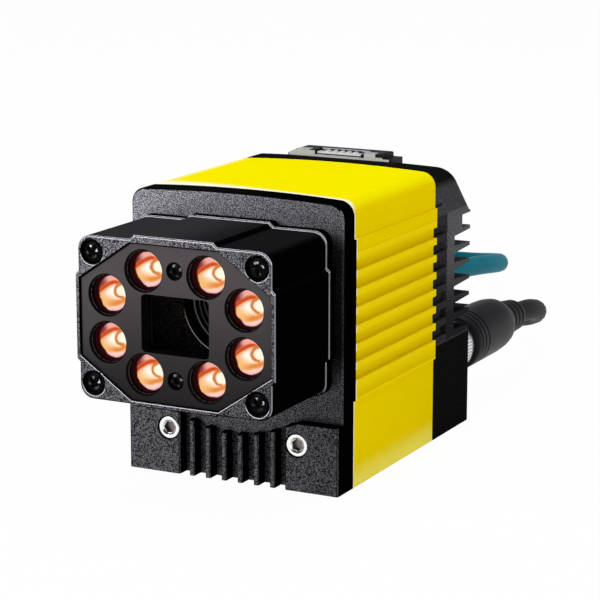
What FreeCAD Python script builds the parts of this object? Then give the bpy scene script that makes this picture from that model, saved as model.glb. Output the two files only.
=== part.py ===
import FreeCAD, Part
import math
import os
import Sketcher

# Fixed-mount barcode reader with an eight-lamp illumination head, finned rear housing and two cables.
# Millimetres. X to the right of the reader, Y from the lamps to the connectors, Z up.
# The origin is the middle of the mounting holes on the bottom face.

SIZES = {
    # casing
    "body_width": 58.8,
    "body_height": 72.55,
    "crown_radius": 450.0,
    "corner_radius": 3.9,
    "mount_to_front": 40.2,
    "front_depth": 8.6,
    "edge_bevel": 0.4,
    "head_bevel": 0.3,
    "fine_bevel": 0.25,
    "cover_length": 48.3,
    "rear_depth": 23.6,
    "wall": 2.0,
    "fit_gap": 0.1,
    # grooved band along both sides
    "band_low": 22.4,
    "band_drop": 10.05,
    "band_proud": 0.6,
    "band_rim": 2.4,
    "groove_pitch": 4.56,
    "groove_width": 2.8,
    "groove_depth": 1.0,
    # front housing
    "plate_recess": 2.6,
    "block_height": 17.5,
    "block_inner": 14.8,
    "block_cut_x": 3.6,
    "block_cut_z": 1.4,
    "valley_depth": 0.85,
    "rib_width": 1.4,
    "rib_pitch": 4.55,
    "plate_edge_radius": 32.8,
    "boss_height": 3.2,
    "boss_margin": 0.4,
    "lens_bore": 13.0,
    "seal_inset": 0.5,
    "seal_width": 1.0,
    "seal_depth": 0.8,
    # case screws
    "case_screw_x": 18.05,
    "case_screw_z": 11.65,
    "rear_screw_x": 8.0,
    "rear_screw_z": 6.0,
    "case_head_radius": 2.95,
    "case_head_height": 3.0,
    "case_shank_radius": 1.45,
    "case_screw_reach": 6.0,
    "hex_radius": 1.45,
    "hex_depth": 1.6,
    # illumination head
    "lens_drop": 27.35,
    "head_length": 27.3,
    "ear_half_x": 26.05,
    "ear_half_z": 20.0,
    "ear_radius": 3.5,
    "hump_half_x": 11.65,
    "hump_half_z": 11.2,
    "hump_top": 1.05,
    "hump_side": 0.85,
    "hump_bottom": 0.4,
    "mask_half_x": 25.95,
    "mask_half_z": 19.3,
    "mask_flat_x": 11.8,
    "mask_flat_z": 9.6,
    "mask_inset": 0.7,
    "mask_thick": 4.5,
    "ledge": 1.5,
    "cavity_step": 2.0,
    "head_seal_inset": 1.4,
    # lamps
    "lamp_inner_x": 8.4,
    "lamp_inner_z": 12.55,
    "lamp_outer_x": 18.5,
    "lamp_outer_z": 5.75,
    "lamp_hole_radius": 5.0,
    "lamp_lens_radius": 4.6,
    "lamp_recess": 3.0,
    "lamp_lens_length": 5.4,
    "lamp_foot_radius": 2.6,
    "emitter_side": 3.0,
    "emitter_height": 1.0,
    "lamp_board_thick": 1.6,
    "spreader_thick": 3.0,
    "lamp_board_open_x": 14.5,
    "lamp_board_open_z": 10.5,
    # window
    "window_half_x": 9.15,
    "window_half_z": 7.05,
    "window_radius": 1.2,
    "pane_thick": 1.2,
    # head screws
    "head_screw_x": 22.2,
    "head_screw_z": 16.05,
    "head_screw_bore": 3.2,
    "head_screw_head": 2.9,
    "head_screw_sink": 1.9,
    "head_screw_shank": 1.4,
    "head_screw_reach": 5.5,
    "mask_screw_z": 13.2,
    "mask_screw_head": 2.1,
    "mask_screw_sink": 1.3,
    "mask_screw_shank": 1.2,
    # lens and image sensor
    "lens_ring_radius": 12.6,
    "lens_ring_bore": 8.0,
    "lens_ring_seat": 2.0,
    "lens_step_width": 0.9,
    "lens_step_depth": 0.8,
    "lens_radius": 8.0,
    "lens_bore_radius": 6.2,
    "lens_length": 6.0,
    "element_thick": 1.9,
    "lens_mount_half": 13.0,
    "lens_mount_length": 7.0,
    "sensor_half_x": 5.5,
    "sensor_half_z": 4.5,
    "sensor_thick": 1.4,
    "sensor_board_half_x": 16.0,
    "sensor_board_half_z": 14.0,
    "board_thick": 1.6,
    # chassis and boards
    "chassis_floor": 8.0,
    "chassis_wall": 6.0,
    "chassis_wall_height": 16.0,
    "mount_pitch_x": 30.0,
    "mount_pitch_y": 24.0,
    "mount_hole_radius": 1.65,
    "mount_hole_depth": 6.5,
    "main_board_height": 20.0,
    "main_board_half_x": 24.0,
    "main_board_gap": 3.0,
    "standoff_radius": 2.5,
    "standoff_inset": 4.0,
    "processor_half": 9.0,
    "processor_thick": 2.2,
    # rear housing
    "slot_length": 8.2,
    "slot_depth": 1.6,
    "fin_root": 1.9,
    "fin_tip": 1.0,
    "fin_length": 10.4,
    "top_gap_depth": 5.4,
    "top_gap_height": 3.55,
    "slope_top": 8.5,
    "slope_drop": 14.05,
    "slope_run": 14.4,
    "slope_radius": 6.0,
    "slit_height": 0.8,
    "slit_length": 4.3,
    "slit_depth": 0.8,
    "rear_cavity_half_x": 26.0,
    "rear_cavity_low": 9.0,
    "rear_cavity_high": 25.0,
    "rear_cavity_depth": 14.0,
    "upper_cavity_low": 27.5,
    "upper_cavity_roof": 6.55,
    "upper_cavity_depth": 9.0,
    "connector_board_y": 5.5,
    "connector_board_margin": 1.0,
    # control panel and push button
    "panel_front": 3.4,
    "panel_depth": 7.1,
    "panel_half_x": 15.2,
    "panel_step_x": 2.6,
    "panel_seat": 1.6,
    "panel_step_height": 2.65,
    "panel_height": 3.9,
    "button_half_x": 7.0,
    "button_front": 0.9,
    "button_depth": 3.4,
    "button_window": 1.3,
    "button_clear": 0.8,
    "button_sink": 0.2,
    "button_gap": 0.25,
    "button_travel": 0.6,
    "button_rib_height": 0.35,
    "button_rib_width": 0.9,
    "button_rib_pitch": 2.0,
    "switch_half_x": 3.0,
    "switch_height": 3.4,
    # rear connectors and plugs
    "socket_inset": 9.4,
    "socket_z": 17.95,
    "socket_body_radius": 5.9,
    "socket_flange_radius": 8.0,
    "socket_flange": 2.2,
    "socket_thread_radius": 6.0,
    "socket_thread_length": 6.0,
    "socket_bore": 4.4,
    "socket_bore_depth": 5.6,
    "nut_gap": 0.3,
    "nut_fit": 0.1,
    "nut_length": 9.2,
    "nut_radius": 7.3,
    "nut_tail_radius": 6.6,
    "nut_tail": 2.6,
    "plug_insert": 4.3,
    "plug_core": 5.7,
    "collar_radius": 7.85,
    "collar_length": 30.0,
    "collar_edge": 0.8,
    "collar_taper": 9.0,
    "collar_tail_radius": 7.0,
    "boot_length": 15.0,
    "boot_droop": 3.0,
    "boot_root_radius": 4.9,
    "boot_tip_radius": 4.1,
    "boot_ring": 0.5,
    "boot_ring_width": 2.0,
    "cable_radius": 3.15,
    # put-away coils
    "coil_radius": 31.5,
    "coil_width": 19.0,
    "coil_low": 0.7,
    "tie_width": 8.0,
    "tie_thick": 0.5,
    # what is on the cables' far ends
    "jack_width": 11.7,
    "jack_height": 8.0,
    "jack_length": 21.5,
    "jack_sleeve_width": 9.0,
    "jack_sleeve_length": 9.0,
    "jack_latch_width": 6.0,
    "jack_latch_height": 1.4,
    "sleeve_radius": 3.8,
    "sleeve_length": 16.0,
    "lead_radius": 0.75,
    "lead_ring": 2.3,
    "lead_length": 22.0,
}

# Middle lines of the two cables, from the plug to the coil: chosen by hand, on the surface at the end.
ETHERNET_ROUTE = [
    (-20.0, 97.3, 17.95), (-20.0, 115.0, 17.95), (-20.3, 135.0, 17.8), (-21.0, 157.0, 16.6),
    (-21.8, 177.5, 13.9), (-24.2, 196.0, 10.8), (-31.5, 212.0, 7.6), (-44.0, 223.0, 4.6),
    (-58.0, 227.9, 3.3), (-68.0, 229.2, 3.2), (-77.0, 229.6, 3.2),
]
SIGNAL_ROUTE = [
    (20.0, 97.28, 17.165), (20.0, 108.98, 16.55), (18.0, 122.6, 13.2), (11.8, 134.8, 8.6),
    (1.5, 143.6, 5.0), (-12.3, 148.2, 3.4), (-28.3, 148.9, 3.2), (-45.0, 148.2, 3.2),
    (-61.0, 145.2, 3.2), (-75.0, 140.6, 3.2),
]
# The share of the shorter run that an arc takes at each turn of a cable.
ARC_SHARE = 0.45
ETHERNET_COIL = (-91.0, 192.0)
SIGNAL_COIL = (-77.9, 100.9)

doc = FreeCAD.newDocument("barcode_reader")
sheet = doc.addObject("Spreadsheet::Sheet", "D")
for row, (alias, size) in enumerate(SIZES.items(), 1):
    sheet.set(f"A{row}", alias)
    sheet.set(f"B{row}", str(size))
    sheet.setAlias(f"B{row}", alias)
doc.recompute()

# Places that many pieces share, as expressions of the sheet's sizes.
HALF = "(D.body_width / 2)"
SOCKET_X = f"({HALF} - D.socket_inset)"
FRONT = "(-D.mount_to_front)"
PLATE = f"({FRONT} + D.plate_recess)"
COVER_FRONT = f"({FRONT} + D.front_depth)"
COVER_REAR = f"({COVER_FRONT} + D.cover_length)"
REAR = f"({COVER_REAR} + D.rear_depth)"
BOSS = f"({PLATE} - D.boss_height)"
HEAD = f"({BOSS} - D.head_length)"
MASK_FRONT = f"({HEAD} + D.mask_inset)"
MASK_REAR = f"({MASK_FRONT} + D.mask_thick)"
LAMP_FRONT = f"({MASK_FRONT} + D.lamp_recess)"
LAMP_REAR = f"({LAMP_FRONT} + D.lamp_lens_length)"
LAMP_BOARD = f"({LAMP_REAR} + D.emitter_height)"
SPREADER = f"({LAMP_BOARD} + D.lamp_board_thick)"
SPREADER_REAR = f"({SPREADER} + D.spreader_thick)"
LENS_FRONT = f"({COVER_FRONT} + D.lens_mount_length - D.sensor_thick - D.fit_gap - D.lens_length)"
LENS_STEPS = 4
LENS_RING_FRONT = f"({LENS_FRONT} - D.lens_ring_seat - {LENS_STEPS} * D.lens_step_depth)"
SENSOR_BOARD = f"({COVER_FRONT} + D.lens_mount_length)"
SOCKET_FACE = f"({REAR} + D.socket_flange)"
SOCKET_END = f"({SOCKET_FACE} + D.socket_thread_length)"
NUT_FRONT = f"({SOCKET_FACE} + D.nut_gap)"
NUT_REAR = f"({NUT_FRONT} + D.nut_length)"
COLLAR = f"({NUT_REAR} + D.nut_gap)"
BOOT = f"({COLLAR} + D.collar_length)"
CONNECTOR_BOARD = f"({COVER_REAR} + D.connector_board_y)"
PANEL_FRONT = f"({COVER_REAR} + D.panel_front)"
BUTTON_FRONT = f"({PANEL_FRONT} + D.button_front)"
AXIS = "(D.body_height - D.lens_drop)"
BAND_HIGH = "(D.body_height - D.band_drop)"
GROOVE_MIDDLE = f"((D.band_low + {BAND_HIGH}) / 2)"
PANEL_FLOOR = "(D.body_height - D.panel_seat)"
PANEL_TOP = f"({PANEL_FLOOR} + D.panel_height)"
BUTTON_LOW = f"({PANEL_FLOOR} + D.button_clear)"
BUTTON_TOP = f"({PANEL_TOP} - D.button_sink)"

LAMPS = [(f"{sx} * D.lamp_{ring}_x", f"{sz} * D.lamp_{ring}_z")
         for ring in ("inner", "outer") for sz in (1, -1) for sx in (-1, 1)]
CORNERS = [(sx, sz) for sz in (1, -1) for sx in (-1, 1)]


def value(expression):
    """The number that an expression of the sheet's sizes gives."""
    return float(sheet.evalExpression(str(expression)))


def new_body(label):
    body = doc.addObject("PartDesign::Body", label)
    body.Label = label
    return body


def new_sketch(body, role, height):
    """An empty sketch parallel to one of the body's own origin planes."""
    sketch = body.newObject("Sketcher::SketchObject", f"{body.Name}_sketch")
    plane = next(feature for feature in body.Origin.OriginFeatures if feature.Role == role)
    sketch.AttachmentSupport = [(plane, "")]
    sketch.MapMode = "FlatFace"
    sketch.setExpression("AttachmentOffset.Base.z", str(height))
    return sketch


def facing(body, y):
    """A sketch that faces the front of the reader, at the given place along it."""
    return new_sketch(body, "XZ_Plane", f"-({y})")


def bind(sketch, constraint, expression):
    """Adds a dimension to the sketch and ties it to the sheet."""
    index = sketch.addConstraint(constraint)
    sketch.setExpression(f"Constraints[{index}]", expression)


def pin(sketch, element, point, x, y):
    """Ties one point of a sketch to two expressions."""
    bind(sketch, Sketcher.Constraint("DistanceX", -1, 1, element, point, value(x)), x)
    bind(sketch, Sketcher.Constraint("DistanceY", -1, 1, element, point, value(y)), y)


def draw_polygon(sketch, corners):
    first = sketch.GeometryCount
    places = [FreeCAD.Vector(value(x), value(y), 0) for x, y in corners]
    count = len(places)
    for i in range(count):
        sketch.addGeometry(Part.LineSegment(places[i], places[(i + 1) % count]))
    for i in range(count):
        following = first + (i + 1) % count
        sketch.addConstraint(Sketcher.Constraint("Coincident", first + i, 2, following, 1))
    for i, (x, y) in enumerate(corners):
        pin(sketch, first + i, 1, x, y)
    return sketch


def draw_rectangle(sketch, left, right, low, high):
    return draw_polygon(sketch, [(left, low), (right, low), (right, high), (left, high)])


def draw_circle(sketch, x, y, radius):
    centre = FreeCAD.Vector(value(x), value(y), 0)
    circle = sketch.addGeometry(Part.Circle(centre, FreeCAD.Vector(0, 0, 1), value(radius)))
    pin(sketch, circle, 3, x, y)
    bind(sketch, Sketcher.Constraint("Radius", circle, value(radius)), radius)
    return sketch


def draw_casing(sketch, inset):
    """The casing's section: flat bottom, upright sides, round top corners and a slightly crowned top."""
    half, low = f"({HALF} - {inset})", str(inset)
    crown = f"(D.crown_radius - {inset})"
    crown_centre = "(D.body_height - D.crown_radius)"
    corner = f"(D.corner_radius - {inset})"
    w, z0, big, small = value(half), value(low), value(crown), value(corner)
    centre_z = value(crown_centre)
    corner_x = w - small
    corner_z = centre_z + math.sqrt((big - small) ** 2 - corner_x ** 2)
    turn = math.atan2(corner_z - centre_z, corner_x)
    up = FreeCAD.Vector(0, 0, 1)
    first = sketch.GeometryCount

    def arc(x, z, radius, start, end):
        return Part.ArcOfCircle(Part.Circle(FreeCAD.Vector(x, z, 0), up, radius), start, end)

    sketch.addGeometry(Part.LineSegment(FreeCAD.Vector(-w, z0, 0), FreeCAD.Vector(w, z0, 0)))
    sketch.addGeometry(Part.LineSegment(FreeCAD.Vector(w, z0, 0), FreeCAD.Vector(w, corner_z, 0)))
    sketch.addGeometry(arc(corner_x, corner_z, small, 0, turn))
    sketch.addGeometry(arc(0, centre_z, big, turn, math.pi - turn))
    sketch.addGeometry(arc(-corner_x, corner_z, small, math.pi - turn, math.pi))
    sketch.addGeometry(Part.LineSegment(FreeCAD.Vector(-w, corner_z, 0), FreeCAD.Vector(-w, z0, 0)))
    bottom, right, arc_right, top, arc_left, left = range(first, first + 6)
    for one, end, other, start in ((bottom, 2, right, 1), (left, 2, bottom, 1)):
        sketch.addConstraint(Sketcher.Constraint("Coincident", one, end, other, start))
    joints = ((right, 2, arc_right, 1), (arc_right, 2, top, 1), (top, 2, arc_left, 1), (arc_left, 2, left, 1))
    for one, end, other, start in joints:
        sketch.addConstraint(Sketcher.Constraint("Tangent", one, end, other, start))
    sketch.addConstraint(Sketcher.Constraint("Vertical", right))
    sketch.addConstraint(Sketcher.Constraint("Vertical", left))
    sketch.addConstraint(Sketcher.Constraint("Equal", arc_right, arc_left))
    pin(sketch, bottom, 1, f"-{half}", low)
    pin(sketch, bottom, 2, half, low)
    pin(sketch, top, 3, "0", crown_centre)
    bind(sketch, Sketcher.Constraint("Radius", top, big), crown)
    bind(sketch, Sketcher.Constraint("Radius", arc_right, small), corner)
    return sketch


def pad(body, sketch, length):
    """Raises a sketch along its own normal, which is forward for a sketch that faces the front."""
    feature = body.newObject("PartDesign::Pad", f"{body.Name}_pad")
    feature.Profile = sketch
    feature.setExpression("Length", str(length))
    sketch.Visibility = False
    return feature


def pocket(body, sketch, depth=None, both_ways=False):
    """Cuts a sketch into the body against the sketch's normal, or right through it."""
    feature = body.newObject("PartDesign::Pocket", f"{body.Name}_pocket")
    feature.Profile = sketch
    if depth is None:
        feature.Type = "ThroughAll"
        feature.Midplane = both_ways
    else:
        feature.setExpression("Length", str(depth))
    return feature


def pattern_up(body, feature, pitch, count):
    """Repeats a feature upwards."""
    rows = body.newObject("PartDesign::LinearPattern", f"{body.Name}_rows")
    rows.Originals = [feature]
    plane = next(item for item in body.Origin.OriginFeatures if item.Role == "Z_Axis")
    rows.Direction = (plane, [""])
    rows.setExpression("Length", f"{pitch} * {count - 1}")
    rows.Occurrences = count
    body.Tip = rows
    return rows


def along_y(places, reach=0.05):
    """Picks straight edges that run along Y at the given places across the reader."""
    spots = [(value(x), value(z)) for x, z in places]

    def wanted(edge):
        if edge.Curve.TypeId != "Part::GeomLine":
            return False
        if abs(edge.Curve.Direction.y) < 0.999:
            return False
        start = edge.Vertexes[0].Point
        return any(math.hypot(start.x - x, start.z - z) < reach for x, z in spots)

    return wanted


def in_plane(axis, expression, there=None):
    """Picks edges that lie in a plane square to an axis, all of them or those that the test lets through."""
    place_there = value(expression)

    def wanted(edge):
        middle = edge.valueAt((edge.FirstParameter + edge.LastParameter) / 2)
        points = [vertex.Point for vertex in edge.Vertexes] + [middle]
        if any(abs(getattr(point, axis) - place_there) > 0.001 for point in points):
            return False
        return there is None or there(middle)

    return wanted


def across(y, there=None):
    return in_plane("y", y, there)


def level(z, there=None):
    return in_plane("z", z, there)


def dress(body, kind, size_name, size, wanted):
    """Rounds or bevels the edges of the body's last feature that the test picks."""
    doc.recompute()
    base = body.Tip
    edges = [f"Edge{i}" for i, edge in enumerate(base.Shape.Edges, 1) if wanted(edge)]
    feature = body.newObject(f"PartDesign::{kind}", f"{body.Name}_{kind.lower()}")
    feature.Base = (base, edges)
    feature.setExpression(size_name, str(size))
    return feature


def fillet(body, radius, wanted):
    return dress(body, "Fillet", "Radius", radius, wanted)


def chamfer(body, size, wanted):
    return dress(body, "Chamfer", "Size", size, wanted)


def place(item, x=None, y=None, z=None):
    for axis, expression in zip("xyz", (x, y, z)):
        if expression is not None:
            item.setExpression(f"Placement.Base.{axis}", str(expression))
    return item


def turned(label, profile, x="0", z="0"):
    """A piece turned about an axis that runs along Y; the profile is (radius, y) pairs."""
    body = new_body(label)
    sketch = new_sketch(body, "XY_Plane", "0")
    draw_polygon(sketch, profile)
    feature = body.newObject("PartDesign::Revolution", f"{label}_turn")
    feature.Profile = sketch
    feature.ReferenceAxis = (sketch, ["V_Axis"])
    feature.Angle = 360
    sketch.Visibility = False
    return place(body, x=x, z=z)


def slab(label, x, y, z):
    """A plain block between pairs of limits."""
    block = doc.addObject("Part::Box", label)
    block.Label = label
    for side, (low, high) in zip(("Length", "Width", "Height"), (x, y, z)):
        block.setExpression(side, f"({high}) - ({low})")
    return place(block, x[0], y[0], z[0])


def group(label, pieces):
    """One node for identical separate pieces."""
    compound = doc.addObject("Part::Compound", label)
    compound.Label = label
    compound.Links = pieces
    return compound


def head_outline(margin):
    """The illumination head's outline: ears at the corners and a low hump on each side between them."""
    ex, ez = f"(D.ear_half_x + {margin})", f"(D.ear_half_z + {margin})"
    bx, bz = f"(D.hump_half_x + {margin})", f"(D.hump_half_z + {margin})"
    top, side, low = "D.hump_top", "D.hump_side", "D.hump_bottom"
    right = [(f"{bx} - {low}", f"-{ez} - {low}"), (bx, f"-{ez}"), (ex, f"-{ez}"), (ex, f"-{bz}"),
             (f"{ex} + {side}", f"-({bz} - {side})"), (f"{ex} + {side}", f"{bz} - {side}"), (ex, bz),
             (ex, ez), (bx, ez), (f"{bx} - {top}", f"{ez} + {top}")]
    left = [(f"-({x})", z) for x, z in reversed(right)]
    return [(x, f"{AXIS} + ({z})") for x, z in right + left]


def head_corners(margin):
    return [(f"{sx} * (D.ear_half_x + {margin})", f"{AXIS} + {sz} * (D.ear_half_z + {margin})")
            for sx, sz in CORNERS]


def octagon(inset):
    """The lamp mask's outline, moved inwards by the inset on all eight sides."""
    cut_x, cut_z = "(D.mask_half_x - D.mask_flat_x)", "(D.mask_half_z - D.mask_flat_z)"
    slant = f"sqrt({cut_x} ^ 2 + {cut_z} ^ 2)"
    hx, hz = f"(D.mask_half_x - {inset})", f"(D.mask_half_z - {inset})"
    fx = f"(D.mask_flat_x - {inset} * ({slant} - {cut_x}) / {cut_z})"
    fz = f"(D.mask_flat_z - {inset} * ({slant} - {cut_z}) / {cut_x})"
    right = [(fx, f"-{hz}"), (hx, f"-{fz}"), (hx, fz), (fx, hz)]
    left = [(f"-{x}", z) for x, z in reversed(right)]
    return [(x, f"{AXIS} + {z}") for x, z in right + left]


def front_housing():
    body = new_body("front_housing")
    pad(body, draw_casing(facing(body, COVER_FRONT), "0"), "D.front_depth - D.plate_recess")
    rim = facing(body, COVER_FRONT)
    for side in (-1, 1):
        edges = (f"{side} * ({HALF} - D.wall)", f"{side} * ({HALF} + D.band_proud)")
        draw_rectangle(rim, *edges, "D.band_low", BAND_HIGH)
    pad(body, rim, "D.band_rim")
    valley = facing(body, PLATE)
    edge_z = f"{AXIS} - sqrt(D.plate_edge_radius ^ 2 - D.block_inner ^ 2)"
    draw_valley(valley, edge_z)
    pocket(body, valley, "D.valley_depth")
    blocks = facing(body, PLATE)
    for side in (-1, 1):
        draw_polygon(blocks, [
            (f"{side} * D.block_inner", "0"), (f"{side} * {HALF}", "0"),
            (f"{side} * {HALF}", "D.block_height"),
            (f"{side} * (D.block_inner + D.block_cut_x)", "D.block_height"),
            (f"{side} * D.block_inner", "D.block_height - D.block_cut_z")])
    pad(body, blocks, "D.plate_recess")
    ribs = facing(body, f"{PLATE} + D.valley_depth")
    for count in (-2.5, -1.5, -0.5, 0.5, 1.5, 2.5):
        middle = f"{count} * D.rib_pitch"
        height = f"{AXIS} - sqrt(D.plate_edge_radius ^ 2 - ({middle}) ^ 2)"
        draw_rectangle(ribs, f"{middle} - D.rib_width / 2", f"{middle} + D.rib_width / 2", "0", height)
    pad(body, ribs, "D.plate_recess + D.valley_depth")
    near = value("D.fit_gap")
    split, shelf = value("D.block_inner") - near, value("D.block_height") + near
    chamfer(body, "D.edge_bevel", across(FRONT, lambda p: abs(p.x) > split and p.z > near))
    chamfer(body, "D.fine_bevel", across(FRONT, lambda p: abs(p.x) < split and p.z > near))
    side = value(HALF) - value("D.corner_radius")
    top = value("D.body_height") - value("D.corner_radius")
    chamfer(body, "D.edge_bevel", across(PLATE, lambda p: p.z > top or p.z > shelf and abs(p.x) > side))
    pad(body, draw_polygon(facing(body, PLATE), head_outline("D.boss_margin")), "D.boss_height")
    fillet(body, "D.ear_radius", along_y(head_corners("D.boss_margin")))
    chamfer(body, "D.head_bevel", across(BOSS))
    pocket(body, draw_circle(facing(body, BOSS), "0", AXIS, "D.lens_bore"))
    pocket(body, draw_head_seal(facing(body, BOSS)), "D.seal_depth")
    threads = facing(body, BOSS)
    for sx, sz in CORNERS:
        draw_circle(threads, f"{sx} * D.head_screw_x", f"{AXIS} + {sz} * D.head_screw_z",
                    "D.head_screw_shank + D.fit_gap")
    pocket(body, threads, "D.head_screw_reach + D.fit_gap")
    heads, shanks = facing(body, FRONT), facing(body, FRONT)
    for side in (-1, 1):
        draw_circle(heads, f"{side} * D.case_screw_x", "D.case_screw_z", "D.case_head_radius + 2 * D.fit_gap")
        draw_circle(shanks, f"{side} * D.case_screw_x", "D.case_screw_z", "D.case_shank_radius + D.fit_gap")
    pocket(body, heads, "D.case_head_height + 2 * D.fit_gap")
    pocket(body, shanks)
    groove = facing(body, f"{COVER_FRONT} - D.seal_depth")
    draw_casing(groove, "D.seal_inset")
    draw_casing(groove, "(D.seal_inset + D.seal_width)")
    pocket(body, groove, "D.seal_depth + D.fit_gap")
    return body


def draw_valley(sketch, edge_z):
    """The sunk field behind the cooling ribs, bounded above by the plate's round lower edge."""
    half, high, low = "D.block_inner", edge_z, "0"
    x, z = value(half), value(high)
    centre, radius = value(AXIS), value("D.plate_edge_radius")
    corners = [(-x, z), (-x, 0), (x, 0), (x, z)]
    places = [FreeCAD.Vector(a, b, 0) for a, b in corners]
    for i in range(3):
        sketch.addGeometry(Part.LineSegment(places[i], places[i + 1]))
    circle = Part.Circle(FreeCAD.Vector(0, centre, 0), FreeCAD.Vector(0, 0, 1), radius)
    start = math.atan2(z - centre, -x)
    end = math.atan2(z - centre, x)
    arc = sketch.addGeometry(Part.ArcOfCircle(circle, start, end))
    for one, other in ((0, 1), (1, 2)):
        sketch.addConstraint(Sketcher.Constraint("Coincident", one, 2, other, 1))
    sketch.addConstraint(Sketcher.Constraint("Coincident", 0, 1, arc, 1))
    sketch.addConstraint(Sketcher.Constraint("Coincident", 2, 2, arc, 2))
    pin(sketch, 1, 1, f"-{half}", low)
    pin(sketch, 1, 2, half, low)
    sketch.addConstraint(Sketcher.Constraint("Vertical", 0))
    sketch.addConstraint(Sketcher.Constraint("Vertical", 2))
    pin(sketch, arc, 3, "0", AXIS)
    bind(sketch, Sketcher.Constraint("Radius", arc, radius), "D.plate_edge_radius")


def draw_head_seal(sketch):
    """The gasket's eight-sided ring between the head and its boss."""
    draw_polygon(sketch, octagon("D.head_seal_inset"))
    return draw_polygon(sketch, octagon("(D.head_seal_inset + D.seal_width)"))


def head_seal():
    body = new_body("head_seal")
    pad(body, draw_head_seal(facing(body, f"{BOSS} + D.seal_depth")), "D.seal_depth")
    return body


def casing_seal(label, y, inset):
    """A flat gasket that follows the casing's edge in its groove."""
    body = new_body(label)
    ring = facing(body, y)
    draw_casing(ring, f"({inset})")
    draw_casing(ring, f"({inset} + D.seal_width)")
    pad(body, ring, "D.seal_depth")
    return body


def cover():
    """The yellow hood: an extruded arch whose sides carry seven grooves on a raised band."""
    body = new_body("cover")
    pad(body, draw_casing(facing(body, COVER_REAR), "0"), "D.cover_length")
    band = facing(body, COVER_REAR)
    for side in (-1, 1):
        edges = (f"{side} * ({HALF} - D.wall / 2)", f"{side} * ({HALF} + D.band_proud)")
        draw_rectangle(band, *edges, "D.band_low", BAND_HIGH)
    pad(body, band, "D.cover_length")
    groove = facing(body, COVER_FRONT)
    low = f"{GROOVE_MIDDLE} - 3 * D.groove_pitch - D.groove_width / 2"
    for side in (-1, 1):
        edges = (f"{side} * ({HALF} + D.band_proud - D.groove_depth)",
                 f"{side} * ({HALF} + 2 * D.band_proud)")
        draw_rectangle(groove, *edges, low, f"{low} + D.groove_width")
    pattern_up(body, pocket(body, groove), "D.groove_pitch", 7)
    hollow = facing(body, COVER_FRONT)
    draw_casing(hollow, "D.wall")
    pocket(body, hollow)
    mouth = facing(body, COVER_FRONT)
    inner = f"({HALF} - D.wall)"
    draw_rectangle(mouth, f"-{inner}", inner, "-D.wall", "2 * D.wall")
    pocket(body, mouth)
    return body


def chassis():
    """The floor of the case, with a wall at each end and the mounting holes beneath."""
    body = new_body("chassis")
    edge = f"({HALF} - D.wall - D.fit_gap)"
    side = new_sketch(body, "YZ_Plane", f"-{edge}")
    floor, top, wall = "D.chassis_floor", "D.chassis_wall_height", "D.chassis_wall"
    front_wall, rear_wall = f"{COVER_FRONT} + {wall}", f"{COVER_REAR} - {wall}"
    draw_polygon(side, [(COVER_FRONT, "0"), (COVER_REAR, "0"), (COVER_REAR, top), (rear_wall, top),
                        (rear_wall, floor), (front_wall, floor), (front_wall, top), (COVER_FRONT, top)])
    pad(body, side, f"2 * {edge}")
    holes = new_sketch(body, "XY_Plane", "0")
    for sx, sy in CORNERS:
        draw_circle(holes, f"{sx} * D.mount_pitch_x / 2", f"{sy} * D.mount_pitch_y / 2",
                    "D.mount_hole_radius")
    pocket(body, holes, "D.mount_hole_depth").Reversed = True
    front, rear = facing(body, COVER_FRONT), facing(body, COVER_REAR)
    for side in (-1, 1):
        bore = "D.case_shank_radius + D.fit_gap"
        draw_circle(front, f"{side} * D.case_screw_x", "D.case_screw_z", bore)
        draw_circle(rear, f"{side} * D.rear_screw_x", "D.rear_screw_z", bore)
    pocket(body, front, "D.case_screw_reach + D.fit_gap")
    pocket(body, rear, "D.case_screw_reach + D.fit_gap").Reversed = True
    return body


def torch_housing():
    """The illumination head's shell, open behind, with an eight-sided pocket in front for the mask."""
    body = new_body("torch_housing")
    pad(body, draw_polygon(facing(body, BOSS), head_outline("0")), "D.head_length")
    fillet(body, "D.ear_radius", along_y(head_corners("0")))
    chamfer(body, "D.head_bevel", across(HEAD))
    pocket(body, draw_polygon(facing(body, HEAD), octagon("0")), "D.mask_inset + D.mask_thick")
    pocket(body, draw_polygon(facing(body, HEAD), octagon("D.ledge")), f"{SPREADER_REAR} - {HEAD}")
    pocket(body, draw_polygon(facing(body, HEAD), octagon("(D.ledge + D.cavity_step)")))
    sinks, bores = facing(body, HEAD), facing(body, HEAD)
    for sx, sz in CORNERS:
        spot = (f"{sx} * D.head_screw_x", f"{AXIS} + {sz} * D.head_screw_z")
        draw_circle(sinks, *spot, "D.head_screw_bore")
        draw_circle(bores, *spot, "D.head_screw_shank + D.fit_gap")
    pocket(body, sinks, "D.head_screw_sink")
    pocket(body, bores)
    return body


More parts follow.
